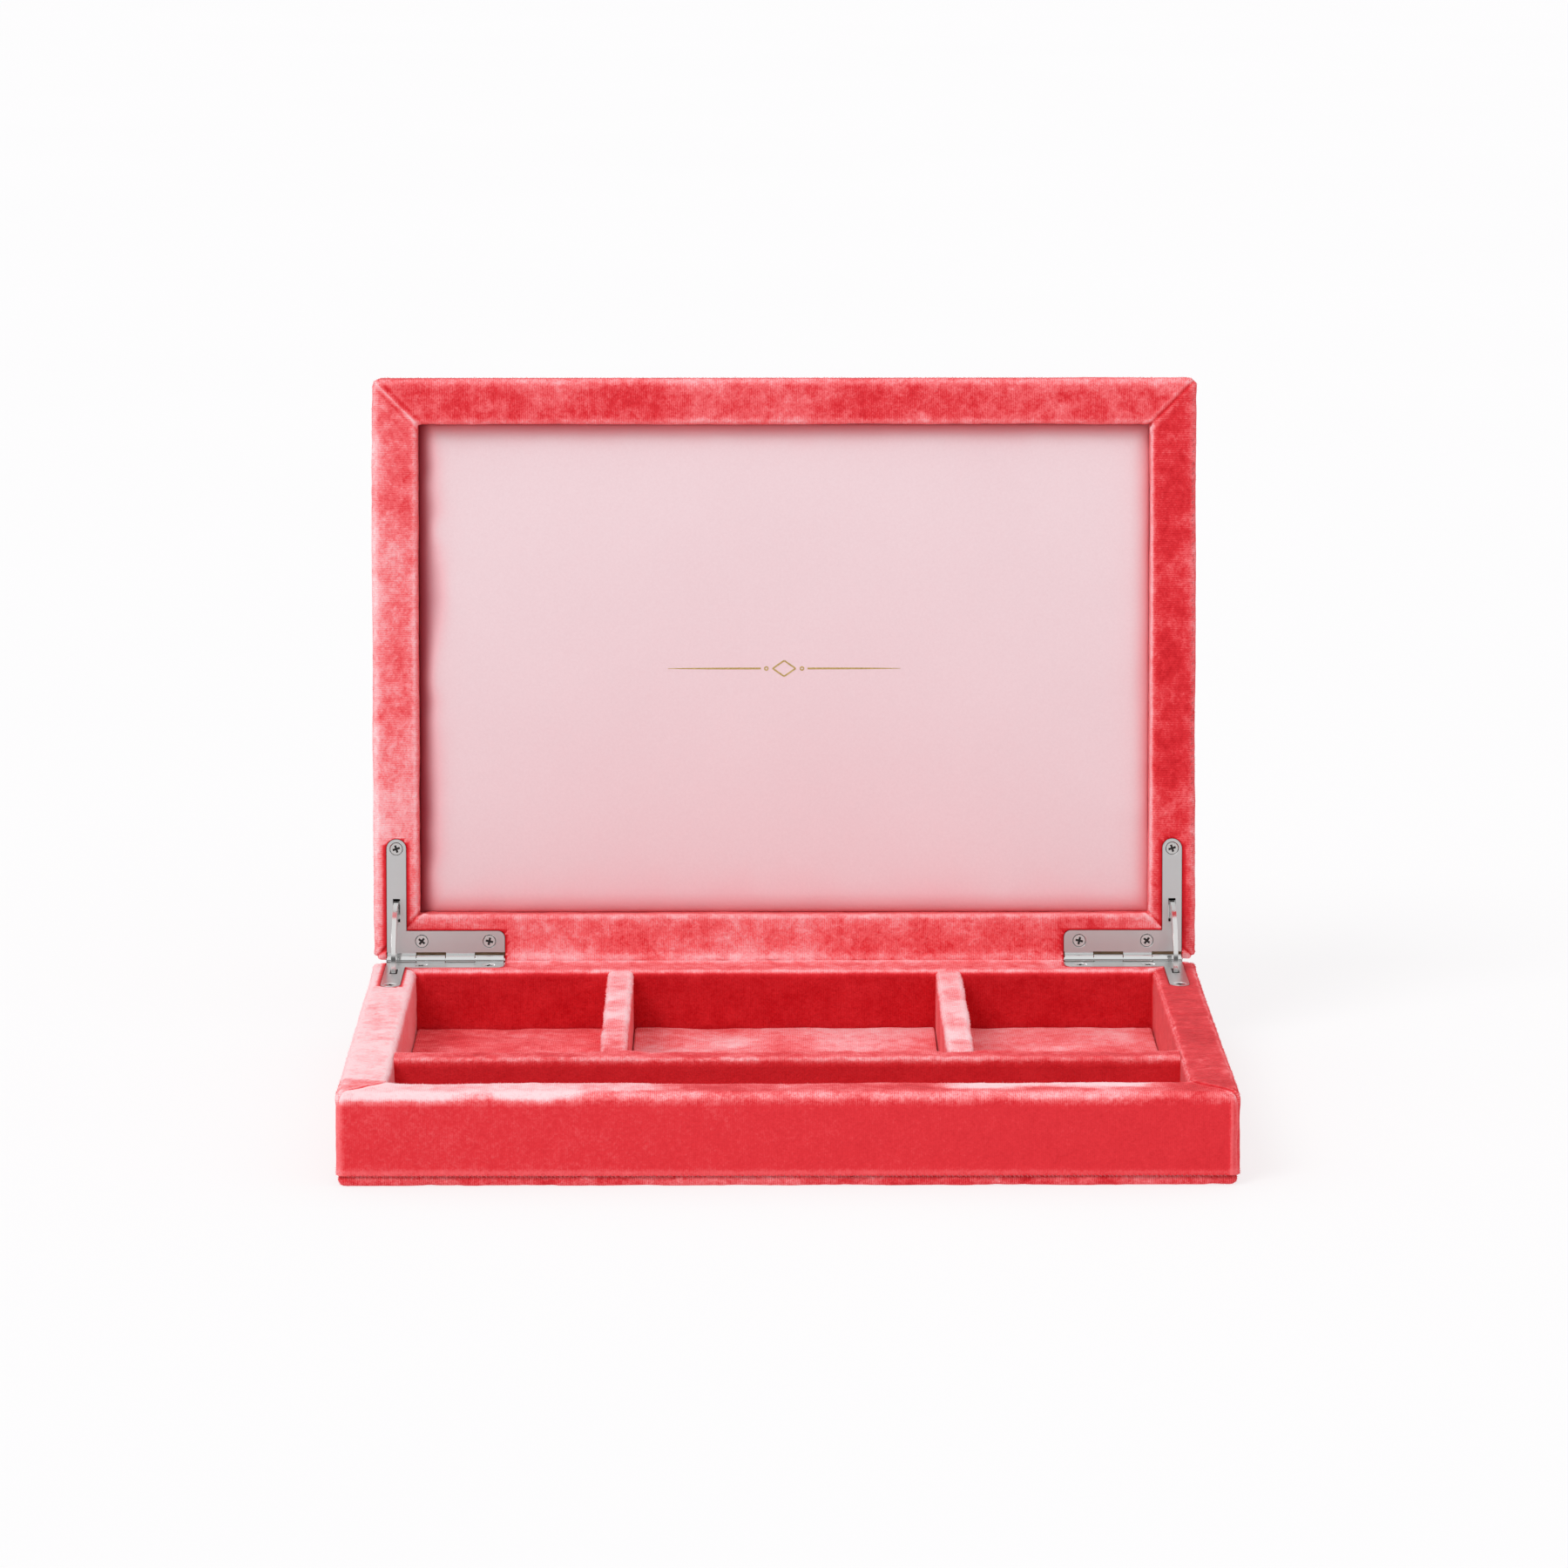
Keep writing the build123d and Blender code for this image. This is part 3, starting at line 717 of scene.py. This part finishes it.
def leaf_seat_outline(side):
    """The L of a leaf, a little larger, run out past the hinge line."""
    half = (LEAF_OUTER - LEAF_INNER) / 2 + SEAT_GAP
    middle = (LEAF_OUTER + LEAF_INNER) / 2
    round_end = arc((middle, LEAF_FAR + SEAT_GAP - half), half, 0, 180, 14)
    band = LEAF_BAND + SEAT_GAP
    free_corner = arc((LEAF_REACH - SEAT_GAP + 2 * MM, band - 2 * MM), 2 * MM, 90, 180, 6)
    corners = [(middle - half, LEAF_FAR + SEAT_GAP - half), (middle - half, band)]
    end, past_hinge = LEAF_REACH - SEAT_GAP, -2 * MM
    last = [(end, band - 2 * MM), (end, past_hinge), (LEAF_OUTER + SEAT_GAP, past_hinge)]
    outline = np.concatenate([round_end, corners, free_corner, last])
    return outline * (side, 1)


def cut(piece, cutter):
    """Takes the cutter's shape out of the piece."""
    change = piece.modifiers.new("cut", "BOOLEAN")
    change.operation, change.solver, change.object = "DIFFERENCE", "MANIFOLD", cutter
    graph = bpy.context.evaluated_depsgraph_get()
    result = bpy.data.meshes.new_from_object(piece.evaluated_get(graph))
    piece.modifiers.clear()
    piece.data = result
    bpy.data.objects.remove(cutter)


def cut_hinge_seats(piece, face):
    """Opens the velvet for both leaves and, deeper, for both barrels."""
    for side in (-1, 1):
        leaf_floor = -LEAF_THICKNESS - SEAT_GAP
        cut(piece, prism("leaf_seat", face, leaf_seat_outline(side), leaf_floor, 3 * MM))
        x_low, x_high = LEAF_REACH - SEAT_GAP, LEAF_OUTER + SEAT_GAP
        groove = [(x_low, -2 * MM), (x_high, -2 * MM), (x_high, BARREL_GROOVE), (x_low, BARREL_GROOVE)]
        outline = np.array(groove) * (side, 1)
        cut(piece, prism("barrel_seat", face, outline, -BARREL_GROOVE - HALF_GAP, 3 * MM))
    shade(piece)


# ---- dividers

def divider_cloth(name, along_x, body, seed):
    """An upside-down U of velvet carried along the divider, with small wrinkles over its rounded top."""
    low, high = TRAY.span(name)
    across, along = (1, 0) if along_x else (0, 1)
    thickness = high[across] - low[across]
    length = high[along] - low[along]
    base, top = low[2], high[2]
    half, radius = thickness / 2, 1.5 * MM
    skin = 0.7 * VELVET
    up = line((-half, base), (-half, top - radius), 1.3 * MM)
    left = arc((-half + radius, top - radius), radius, 180, 90, 6)
    right = arc((half - radius, top - radius), radius, 90, 0, 6)
    over = line((-half + radius, top), (half - radius, top), 0.5 * MM)
    down = line((half, top - radius), (half, base), 1.3 * MM)
    back = [(half, base), (half - skin, base), (half - skin, top - radius), (half - radius, top - skin)]
    back += [(-half + radius, top - skin), (-half + skin, top - radius), (-half + skin, base)]
    section = np.concatenate([up, left, over, right, down, back])
    shown = (np.arange(len(section)) < len(section) - len(back) + 1)[None, :]
    reach = length / 2 + 0.35 * MM
    run = np.linspace(-reach, reach, round(2 * reach / (0.8 * MM)))[:, None]
    middle = (low + high) / 2
    across_place = section[None, :, 0] + 0 * run
    along_place = run + 0 * across_place
    n = section[None, :, 1] + 0 * run
    x, h = (along_place, across_place) if along_x else (across_place, along_place)
    points = TRAY.world(x + middle[0], h + middle[1], n)
    normal = normals_of(points, False, True)
    top_column = np.argmax(section[:, 1])
    normal *= np.sign(np.sum(normal[3, top_column] * TRAY.normal))
    near_top = smooth(top - 3.0 * MM, top - 0.4 * MM, n)
    waves = 0.30 * MM * value_noise(points, 11 * MM, seed) * near_top
    wrinkles = 0.20 * MM * value_noise(points * (1, 1, 0.4), 3.2 * MM, seed + 1) * (0.3 + 0.7 * near_top)
    fluff = 0.06 * MM * value_noise(points, 1.5 * MM, seed + 2)
    points = points + normal * (shown * (waves + wrinkles + fluff - 0.15 * MM))[..., None]
    # Painted sheen: the tops paler than the sides, and a painted highlight along the rounded top edges.
    spots = value_noise(points, 12 * MM, seed + 5)
    if along_x:
        lean = (0.40 + 0.12 * spots) * near_top + (1 - near_top) * 0.19
    else:
        lean = (0.76 + 0.22 * spots) * near_top + (0.44 + 0.15 * spots) * (1 - near_top)
    edge = bump_at(np.hypot(np.abs(across_place) - half + 0.4 * MM, n - top + 0.4 * MM), 0, 1.1 * MM)
    masks = {"nap": lean, "edge": edge, "wild": 0.3 + 0.6 * near_top, "upright": 0.0 * lean}
    loose_pile(f"{name}_pile", TRAY, points, normal, shown * edge, lean, 2600, 0.5 * MM, body, seed + 9)
    piece = grid_piece(f"{name}_cloth", points, close_columns=True, caps=True, masks=masks)
    return place(piece, body, "velvet", FRAME_VELVET, name)


# ---- pads

def pad_shape(u, v, edge):
    """How full a pad is at (u, v) from -1 to 1: a steep rounded rise inside each edge of the given share."""
    rise_u = np.sqrt(np.clip(1 - np.clip((np.abs(u) - 1 + edge[0]) / edge[0], 0, 1) ** 2, 0, 1))
    rise_v = np.sqrt(np.clip(1 - np.clip((np.abs(v) - 1 + edge[1]) / edge[1], 0, 1) ** 2, 0, 1))
    return rise_u * rise_v


def pad_points(low, high, crown, edge_width, relief, step):
    """Top and bottom sheets of a pad that share their border, as one grid wrapped over a flat back.

    Height is the pad's thickness times pad_shape, plus a crown of (1-u^2)(1-v^2), plus the relief."""
    size = high - low
    counts = [max(12, round(size[axis] / step)) for axis in (0, 1)]
    steep = 0.4 * math.pi
    u, v = [np.sin(np.linspace(-1, 1, count + 1) * steep) / math.sin(steep) for count in counts]
    u, v = np.meshgrid(u, v, indexing="ij")
    x = low[0] + (u + 1) / 2 * size[0]
    h = low[1] + (v + 1) / 2 * size[1]
    edge = (edge_width / size[0] * 2, edge_width / size[1] * 2)
    full = pad_shape(u, v, edge)
    puff = crown * (1 - u ** 2) * (1 - v ** 2)
    top = low[2] + size[2] * full + puff * full + relief(x, h) * full
    return x, h, top, full


def pad_piece(name, face, x, h, top, bottom, masks):
    """Closes a pad: its top sheet, and the same sheet flattened to the back, welded along the border."""
    rows, columns = top.shape
    upper, lower = face.world(x, h, top), face.world(x, h, np.full_like(top, bottom))
    faces = grid_faces(rows, columns, False, False)
    faces = np.concatenate([faces, faces + rows * columns]).tolist()
    both = {key: np.tile(np.broadcast_to(values, top.shape).ravel(), 2) for key, values in masks.items()}
    return solid(name, np.stack([upper, lower]), faces, both, WELD, 60)


def floor_pad(name, lean, seed):
    """A velvet-covered foam floor that bulges between the walls, with slow dents and drag wrinkles."""
    low, high = TRAY.span(name)
    tuck = np.array((0.55 * MM, 0.55 * MM, 0))
    low, high = low - tuck, high + tuck

    def relief(x, h):
        """Slow dents, drag wrinkles along x, and fine grain."""
        place_of = np.stack([x, h, 0 * x], axis=-1)
        dents = 0.45 * MM * value_noise(place_of, 19 * MM, seed)
        drags = 0.18 * MM * value_noise(place_of * (0.5, 1, 1), 3.5 * MM, seed + 1)
        return dents + drags + 0.05 * MM * value_noise(place_of, 1.6 * MM, seed + 2)

    x, h, top, full = pad_points(low, high, 0.5 * MM, 0.7 * MM, relief, 1.0 * MM)
    # Painted sheen from the pile's lean, and a painted highlight where the pad rounds down at its border.
    spots = value_noise(np.stack([x, h, 0 * x], axis=-1), 15 * MM, seed + 3)
    masks = {"nap": lean + 0.16 * spots, "edge": 0.5 * (1 - full), "wild": 0.8 + 0 * x, "upright": 0 * x}
    piece = pad_piece(f"{name}_cloth", TRAY, x, h, top, low[2], masks)
    place(piece, "tray", "floor_velvet", FLOOR_VELVET, name)
    return piece


SATIN_LOW, SATIN_HIGH = LID.span("satin_pad")
SATIN_LOW = SATIN_LOW - (0.6 * MM, 0.6 * MM, 0)
SATIN_HIGH = SATIN_HIGH + (0.6 * MM, 0.6 * MM, 0)
SATIN_CROWN = 0.7 * MM
SATIN_EDGE = 6.0 * MM


def satin_relief(x, h):
    """Puckers that run in from the edges and die out, over slow waves."""
    from_side = np.minimum(x - SATIN_LOW[0], SATIN_HIGH[0] - x)
    from_end = np.minimum(h - SATIN_LOW[1], SATIN_HIGH[1] - h)
    place_of = np.stack([x, h, 0 * x], axis=-1)
    side_pucker = value_noise(place_of * (0.3, 1, 1), 6 * MM, 31) * np.exp(-from_side / (6 * MM))
    end_pucker = value_noise(place_of * (1, 0.3, 1), 8 * MM, 32) * np.exp(-from_end / (5 * MM))
    slow = value_noise(place_of, 45 * MM, 33)
    return 0.45 * MM * side_pucker + 0.30 * MM * end_pucker + 0.15 * MM * slow


def satin_height(x, h):
    """Height of the satin at (x, h), by the same formula as the pad."""
    size = SATIN_HIGH - SATIN_LOW
    u = (x - SATIN_LOW[0]) / size[0] * 2 - 1
    v = (h - SATIN_LOW[1]) / size[1] * 2 - 1
    full = pad_shape(u, v, (SATIN_EDGE / size[0] * 2, SATIN_EDGE / size[1] * 2))
    puff = SATIN_CROWN * (1 - u ** 2) * (1 - v ** 2)
    return SATIN_LOW[2] + size[2] * full + puff * full + satin_relief(x, h) * full


def satin_panel():
    """The lid's padded satin panel, tucked in all round."""
    x, h, top, _ = pad_points(SATIN_LOW, SATIN_HIGH, SATIN_CROWN, SATIN_EDGE, satin_relief, 1.1 * MM)
    from_left, from_right = x - SATIN_LOW[0], SATIN_HIGH[0] - x
    from_near, from_far = h - SATIN_LOW[1], SATIN_HIGH[1] - h
    place_of = np.stack([x, h, 0 * x], axis=-1)
    # Painted shadow and painted reflection beside the velvet walls: a dark shadow band along the left edge,
    # a fainter one along the far edge, and a rosy reflection of the red velvet along the near and right
    # edges, widest in the middle of the near edge.
    uneven = 1 + 0.25 * value_noise(place_of, 20 * MM, 41) + 0.15 * value_noise(place_of, 6 * MM, 42)
    rim = 0.97 * np.exp(-((from_left / (6.0 * MM * uneven)) ** 2.6))
    rim = np.maximum(rim, 0.56 * np.exp(-((from_far / (3.6 * MM * uneven)) ** 2)))
    arch = 1 + 0.5 * np.cos(x / SATIN_HIGH[0] * 1.3)
    rim = np.maximum(rim, 0.48 * np.exp(-((from_near / (4.6 * MM * uneven * arch)) ** 1.6)))
    rim = np.maximum(rim, 0.28 * np.exp(-((from_right / (3.0 * MM * uneven)) ** 2)))
    piece = pad_piece("satin_panel", LID, x, h, top, SATIN_LOW[2], {"rim": rim})
    place(piece, "lid", "satin", SATIN, "satin_pad")


def foil_ornament():
    """Two tapering rules and an open lozenge of foil that lie on the satin's curve."""
    low, high = LID.span("foil_ornament")
    middle_h = (low[1] + high[1]) / 2
    reach, tall = high[0], (high[1] - low[1]) / 2
    t = np.linspace(0, 1, 60)
    parts = []
    for side in (-1, 1):
        x = side * (6.5 * MM + (reach - 6.5 * MM) * t)
        parts.append((x, np.full_like(x, middle_h), 0.27 * MM * (1 - 0.75 * t ** 3)))
        angle, dot = t * 2 * math.pi, 0.45 * MM
        dot_x, dot_h = side * 5.0 * MM + dot * np.cos(angle), middle_h + dot * np.sin(angle)
        parts.append((dot_x, dot_h, 0.2 * MM + 0 * t))
    turns = t * 4
    wide = 3.2 * MM
    corner_x = np.interp(turns, range(5), (0, wide, 0, -wide, 0))
    corner_h = np.interp(turns, range(5), (tall, 0, -tall, 0, tall))
    parts.append((corner_x, middle_h + corner_h, 0.24 * MM + 0 * t))
    meshes = []
    for number, (x, h, half_width) in enumerate(parts):
        direction = np.stack([np.gradient(x), np.gradient(h)], axis=1)
        direction /= np.linalg.norm(direction, axis=1, keepdims=True)
        offsets = np.array([(-1, -0.02), (-0.8, 0.06), (0.8, 0.06), (1, -0.02)])
        strip_x = x[:, None] - direction[:, 1:] * half_width[:, None] * offsets[:, 0]
        strip_h = h[:, None] + direction[:, :1] * half_width[:, None] * offsets[:, 0]
        lift = satin_height(strip_x, strip_h) + offsets[:, 1] * MM
        strip = LID.world(strip_x, strip_h, lift)
        meshes.append(grid_piece(f"foil_{number}", strip, close_columns=True, caps=True))
    whole = join(meshes, "foil_rule_and_lozenge")
    place(whole, "lid", "gold_foil", FOIL, "foil_ornament")


def join(pieces, name):
    """One object from several, under a new name."""
    work = bmesh.new()
    for piece in pieces:
        work.from_mesh(piece.data)
    mesh = bpy.data.meshes.new(name)
    work.to_mesh(mesh)
    work.free()
    for piece in pieces:
        bpy.data.objects.remove(piece)
    return link(name, mesh)


# ---- outer panels and their stitches

def panel_cloth(node, face, body, seed):
    """A thin velvet-wrapped panel: rings from the inner face over a rolled edge to the outer face."""
    low, high = face.span(node)
    width, depth = high[0] - low[0], high[1] - low[1]
    inner, outer = high[2], low[2]
    roll = (inner - outer) / 2
    on_inner = line((9 * MM, inner), (roll, inner), 2 * MM)
    rolled = arc((roll, (inner + outer) / 2), roll, 90, 270, 12)
    on_outer = line((roll, outer), (40 * MM, outer), 3 * MM)
    section = np.concatenate([on_inner, rolled, on_outer, [(60 * MM, outer)]])
    a, b, side = stations(width, depth)
    x, h = ring_points(width, depth, a, b, section[None, :, 0])
    h = h + low[1]
    n = section[None, :, 1] + 0 * x
    points = face.world(x, h, n)
    inset = section[None, :, 0] + 0 * x
    normal = normals_of(points, True, False)
    rim = np.argmin(section[:, 0])
    out = np.array((1.0, 0.0, 0.0))
    rightmost = np.argmax(points[:, rim, 0])
    normal *= np.sign(np.sum(normal[rightmost, rim] * out))
    on_rim = smooth(4 * MM, 0, inset)
    waves = 0.22 * MM * value_noise(points, 9 * MM, seed)
    waves = waves + 0.16 * MM * value_noise(points, 2.4 * MM, seed + 1)
    points = points + normal * (on_rim * (waves + 0.15 * MM))[..., None]
    below = np.maximum(outer - (points - face.origin) @ face.normal, 0)
    points = points + below[..., None] * face.normal
    spots = value_noise(points, 14 * MM, seed + 2)
    side_grid = np.broadcast_to(side[:, None], x.shape)
    # Painted sheen from the pile's lean, and a painted highlight along the rolled rim.
    masks = {
        "nap": 0.42 + 0.12 * spots,
        "edge": 0.7 * on_rim * bump_at(n, inner, 0.7 * MM),
        "wild": 0.5 + 0.5 * on_rim,
        "upright": np.where(side_grid % 2 == 1, 1.0, 0.0),
    }
    chance = smooth(2.2 * MM, 0.6 * MM, inset)
    loose_pile(f"{node}_pile", face, points, normal, chance, masks["nap"], 5000, 0.5 * MM, body, seed + 9)
    piece = grid_piece(f"{node}_cloth", points, close_rows=True, masks=masks)
    close_rings(piece.data, x.shape)
    shade(piece)
    return place(piece, body, "velvet", FRAME_VELVET, node)


def close_rings(mesh, shape):
    """Fills the first and last ring of a ring grid with one face each."""
    rows, columns = shape
    work = bmesh.new()
    work.from_mesh(mesh)
    work.verts.ensure_lookup_table()
    for column in (0, columns - 1):
        work.faces.new([work.verts[row * columns + column] for row in range(rows)])
    bmesh.ops.recalc_face_normals(work, faces=work.faces)
    work.to_mesh(mesh)
    work.free()


def stitch_row(name, starts, ends, body, radius):
    """Short slanted stitches: each is a six-sided spindle from its start to its end."""
    axis = ends - starts
    length = np.linalg.norm(axis, axis=1, keepdims=True)
    axis = axis / length
    side = np.cross(axis, np.array((0.3, 0.2, 0.93)))
    side /= np.linalg.norm(side, axis=1, keepdims=True)
    third = np.cross(axis, side)
    share = np.array([0.0, 0.18, 0.5, 0.82, 1.0])
    fat = np.array([0.15, 0.85, 1.0, 0.85, 0.15]) * radius
    angle = np.arange(6) * math.pi / 3
    circle = side[:, None, None] * np.cos(angle)[:, None] + third[:, None, None] * np.sin(angle)[:, None]
    middles = starts[:, None, None] + axis[:, None, None] * (length * share)[:, :, None, None]
    points = middles + circle * fat[:, None, None]
    count = len(starts)
    faces = grid_faces(5, 6, False, True)
    caps = np.array([[0, 1, 2, 3], [0, 3, 4, 5], [24, 25, 26, 27], [24, 27, 28, 29]])
    one = np.concatenate([faces, caps])
    everything = (one[None] + 30 * np.arange(count)[:, None, None]).reshape(-1, 4)
    return place(solid(name, points, everything.tolist(), sharp=80), body, "velvet", THREAD)


def panel_seam(name, node, face, body, seed):
    """Stitches all round the line where the frame's velvet meets the panel's."""
    low, high = face.span(node)
    width, depth = high[0] - low[0], high[1] - low[1]
    level = high[2]
    perimeter = 2 * (width + depth)
    count = round(perimeter / (1.1 * MM))
    random = np.random.default_rng(seed)
    distance = (np.arange(count) + 0.25 * random.uniform(-1, 1, count)) * perimeter / count
    turn = np.cumsum([0, width, depth, width, depth])

    def around(gone):
        """The place on the panel's border after this distance from its near left corner."""
        x = np.interp(gone, turn, (-width / 2, width / 2, width / 2, -width / 2, -width / 2))
        return x, np.interp(gone, turn, (low[1], low[1], high[1], high[1], low[1]))

    x_of, h_of = around(distance)
    x_to, h_to = around(distance + 0.75 * MM)
    rise = 0.38 * MM * random.uniform(0.7, 1.1, count)
    clear_of_ends = (h_of > low[1] + 3 * MM) & (h_of < high[1] - 3 * MM)
    keep = (np.abs(np.abs(x_of) - width / 2) > 2 * MM) | clear_of_ends
    outer = 0.62 * MM
    push_x = np.where(np.abs(np.abs(x_of) - width / 2) < 1e-6, np.sign(x_of) * outer, 0)
    far_push = np.where(np.abs(h_of - high[1]) < 1e-6, outer, 0)
    push_h = np.where(np.abs(h_of - low[1]) < 1e-6, -outer, far_push)
    starts = face.world(x_of + push_x, h_of + push_h, level - rise)[keep]
    ends = face.world(x_to + push_x, h_to + push_h, level + rise)[keep]
    return stitch_row(name, starts, ends, body, 0.16 * MM)


def lid_edge_seam():
    """A row of stitches up the rounded outer edge of the lid's right rail."""
    high = LID.span("lid_velvet")[1]
    h = np.arange(6 * MM, high[1] - 6 * MM, 1.6 * MM)
    random = np.random.default_rng(7)
    h = h + 0.3 * MM * random.uniform(-1, 1, len(h))
    x = high[0] - 1.15 * MM + 0.12 * MM * random.uniform(-1, 1, len(h))
    lift = -0.42 * MM
    starts = LID.world(x - 0.3 * MM, h - 0.45 * MM, lift + 0 * h)
    ends = LID.world(x + 0.25 * MM, h + 0.45 * MM, lift - 0.25 * MM + 0 * h)
    return stitch_row("lid_edge_stitches", starts, ends, "lid", 0.15 * MM)


# ---- metal pieces and hidden boards

def bevelled_copy(node, body, slot, material, width):
    """The CAD piece with its doubles merged, flat faces joined up and kept flat, and sharp edges eased."""
    mesh = frame["nodes"][node].data.copy()
    work = bmesh.new()
    work.from_mesh(mesh)
    bmesh.ops.remove_doubles(work, verts=work.verts, dist=WELD)
    bmesh.ops.dissolve_limit(work, angle_limit=math.radians(1), verts=work.verts, edges=work.edges)
    work.to_mesh(mesh)
    work.free()
    piece = link(f"{node}_eased", mesh)
    ease = piece.modifiers.new("ease", "BEVEL")
    ease.width, ease.segments, ease.limit_method = width, 2, "ANGLE"
    ease.angle_limit, ease.harden_normals = math.radians(40), True
    shade(piece, 38)
    for polygon in mesh.polygons:
        if polygon.area > 3 * MM * MM:
            for loop in polygon.loop_indices:
                mesh.edges[mesh.loops[loop].edge_index].use_edge_sharp = True
    return place(piece, body, slot, material, node)


def dress(node, material):
    """Gives a CAD node that is shown as it is its finish."""
    data = frame["nodes"][node].data
    data.materials.clear()
    data.materials.append(material)


# ---- build

TRAY_RAIL = TRAY.span("tray_rear_rail")[1][1] + VELVET
LID_RAIL = LID.span("lid_rear_rail")[1][1] + VELVET
velvet_frame("tray_velvet", TRAY, TRAY_RAIL, tray_nap_painted_sheen, "tray", 100, 2.0 * MM, cord=0, fold=1)
velvet_frame("lid_velvet", LID, LID_RAIL, lid_nap_painted_sheen, "lid", 200, 1.3 * MM, cord=1, fold=0)
panel_cloth("bottom_velvet", TRAY, "tray", 300)
panel_cloth("lid_top_velvet", LID, "lid", 320)
panel_seam("tray_stitches", "bottom_velvet", TRAY, "tray", 1)
panel_seam("lid_stitches", "lid_top_velvet", LID, "lid", 2)
lid_edge_seam()
divider_cloth("cross_divider_velvet", True, "tray", 400)
divider_cloth("left_divider_velvet", False, "tray", 420)
divider_cloth("right_divider_velvet", False, "tray", 440)
# Lean of each floor pad's pile, which sets its painted sheen.
floor_leans = {"left": 0.46, "middle": 0.66, "right": 0.60, "front": 0.35}
for number, (pad_name, floor_lean) in enumerate(floor_leans.items()):
    floor_pad(f"{pad_name}_floor_pad", floor_lean, 500 + 20 * number)
satin_panel()
foil_ornament()

for side_name in ("left", "right"):
    for half_name in ("tray", "lid"):
        leaf = f"{side_name}_hinge_{half_name}_leaf"
        bevelled_copy(leaf, half_name, "hinge_metal", LEAF_NICKEL, 0.12 * MM)
        screws = f"{side_name}_hinge_{half_name}_screws"
        bevelled_copy(screws, half_name, "screw_metal", SCREW_NICKEL[half_name], 0.20 * MM)
    dress(f"{side_name}_hinge_pin", LEAF_NICKEL)
    bevelled_copy(f"{side_name}_stay_arm", f"{side_name}_stay", "stay_metal", STAY_NICKEL, 0.22 * MM)

for node_name in frame["nodes"]:
    if node_name.endswith("_rail"):
        dress(node_name, FIBREBOARD)
    elif node_name.endswith("_board"):
        dress(node_name, GREY_BOARD)
dress("lid_foam", FOAM)


# ---- floor and light

def add_floor():
    """A large pale floor under the box, with a little light of its own so that shadows stay faint."""
    glow = {"Emission_Color": (1.0, 0.995, 1.0, 1), "Emission_Strength": 0.745}
    floor_shader = Shader("floor", Roughness=0.9, **glow)
    tone = floor_shader.noise(400 * MM)
    tones = [(0.3, (0.222, 0.220, 0.222)), (0.7, (0.226, 0.224, 0.226))]
    floor_shader.feed("Base Color", floor_shader.ramp(tone, tones))
    floor_shader.surface.inputs["Specular IOR Level"].default_value = 0.0
    reach = 30.0
    corners = [(-reach, -reach), (reach, -reach), (reach, reach), (-reach, reach)]
    mesh = bpy.data.meshes.new("floor")
    mesh.from_pydata([(x, y, -0.05 * MM) for x, y in corners], [], [(0, 1, 2, 3)])
    floor = link("floor", mesh)
    mesh.materials.append(floor_shader.material)


def add_light():
    """A bright studio dome with a dark band above the horizon, and a broad sun from the upper left front."""
    world = bpy.data.worlds.new("studio")
    bpy.context.scene.world = world
    world.use_nodes = True
    tree = world.node_tree
    direction = tree.nodes.new("ShaderNodeTexCoord").outputs["Generated"]
    parts = tree.nodes.new("ShaderNodeSeparateXYZ")
    tree.links.new(direction, parts.inputs[0])
    ramp = tree.nodes.new("ShaderNodeValToRGB")
    tree.links.new(parts.outputs["Z"], ramp.inputs["Fac"])
    stops = [(0.0, 0.80), (0.10, 0.72), (0.17, 0.10), (0.30, 0.10), (0.38, 1.0), (1.0, 1.0)]
    while len(ramp.color_ramp.elements) < len(stops):
        ramp.color_ramp.elements.new(0.5)
    for element, (position, level) in zip(ramp.color_ramp.elements, stops):
        element.position, element.color = position, (level, level, level, 1)
    background = tree.nodes["Background"]
    tree.links.new(ramp.outputs["Color"], background.inputs["Color"])
    background.inputs["Strength"].default_value = 0.92
    sun = bpy.data.lights.new("key", "SUN")
    sun.energy, sun.angle = 1.05, math.radians(26)
    key = bpy.data.objects.new("key", sun)
    towards = Vector((0.55, 0.62, -0.85))
    key.rotation_euler = towards.to_track_quat("-Z", "Y").to_euler()
    bpy.context.scene.collection.objects.link(key)


add_floor()
add_light()
bpy.context.scene.view_settings.view_transform = "Standard"
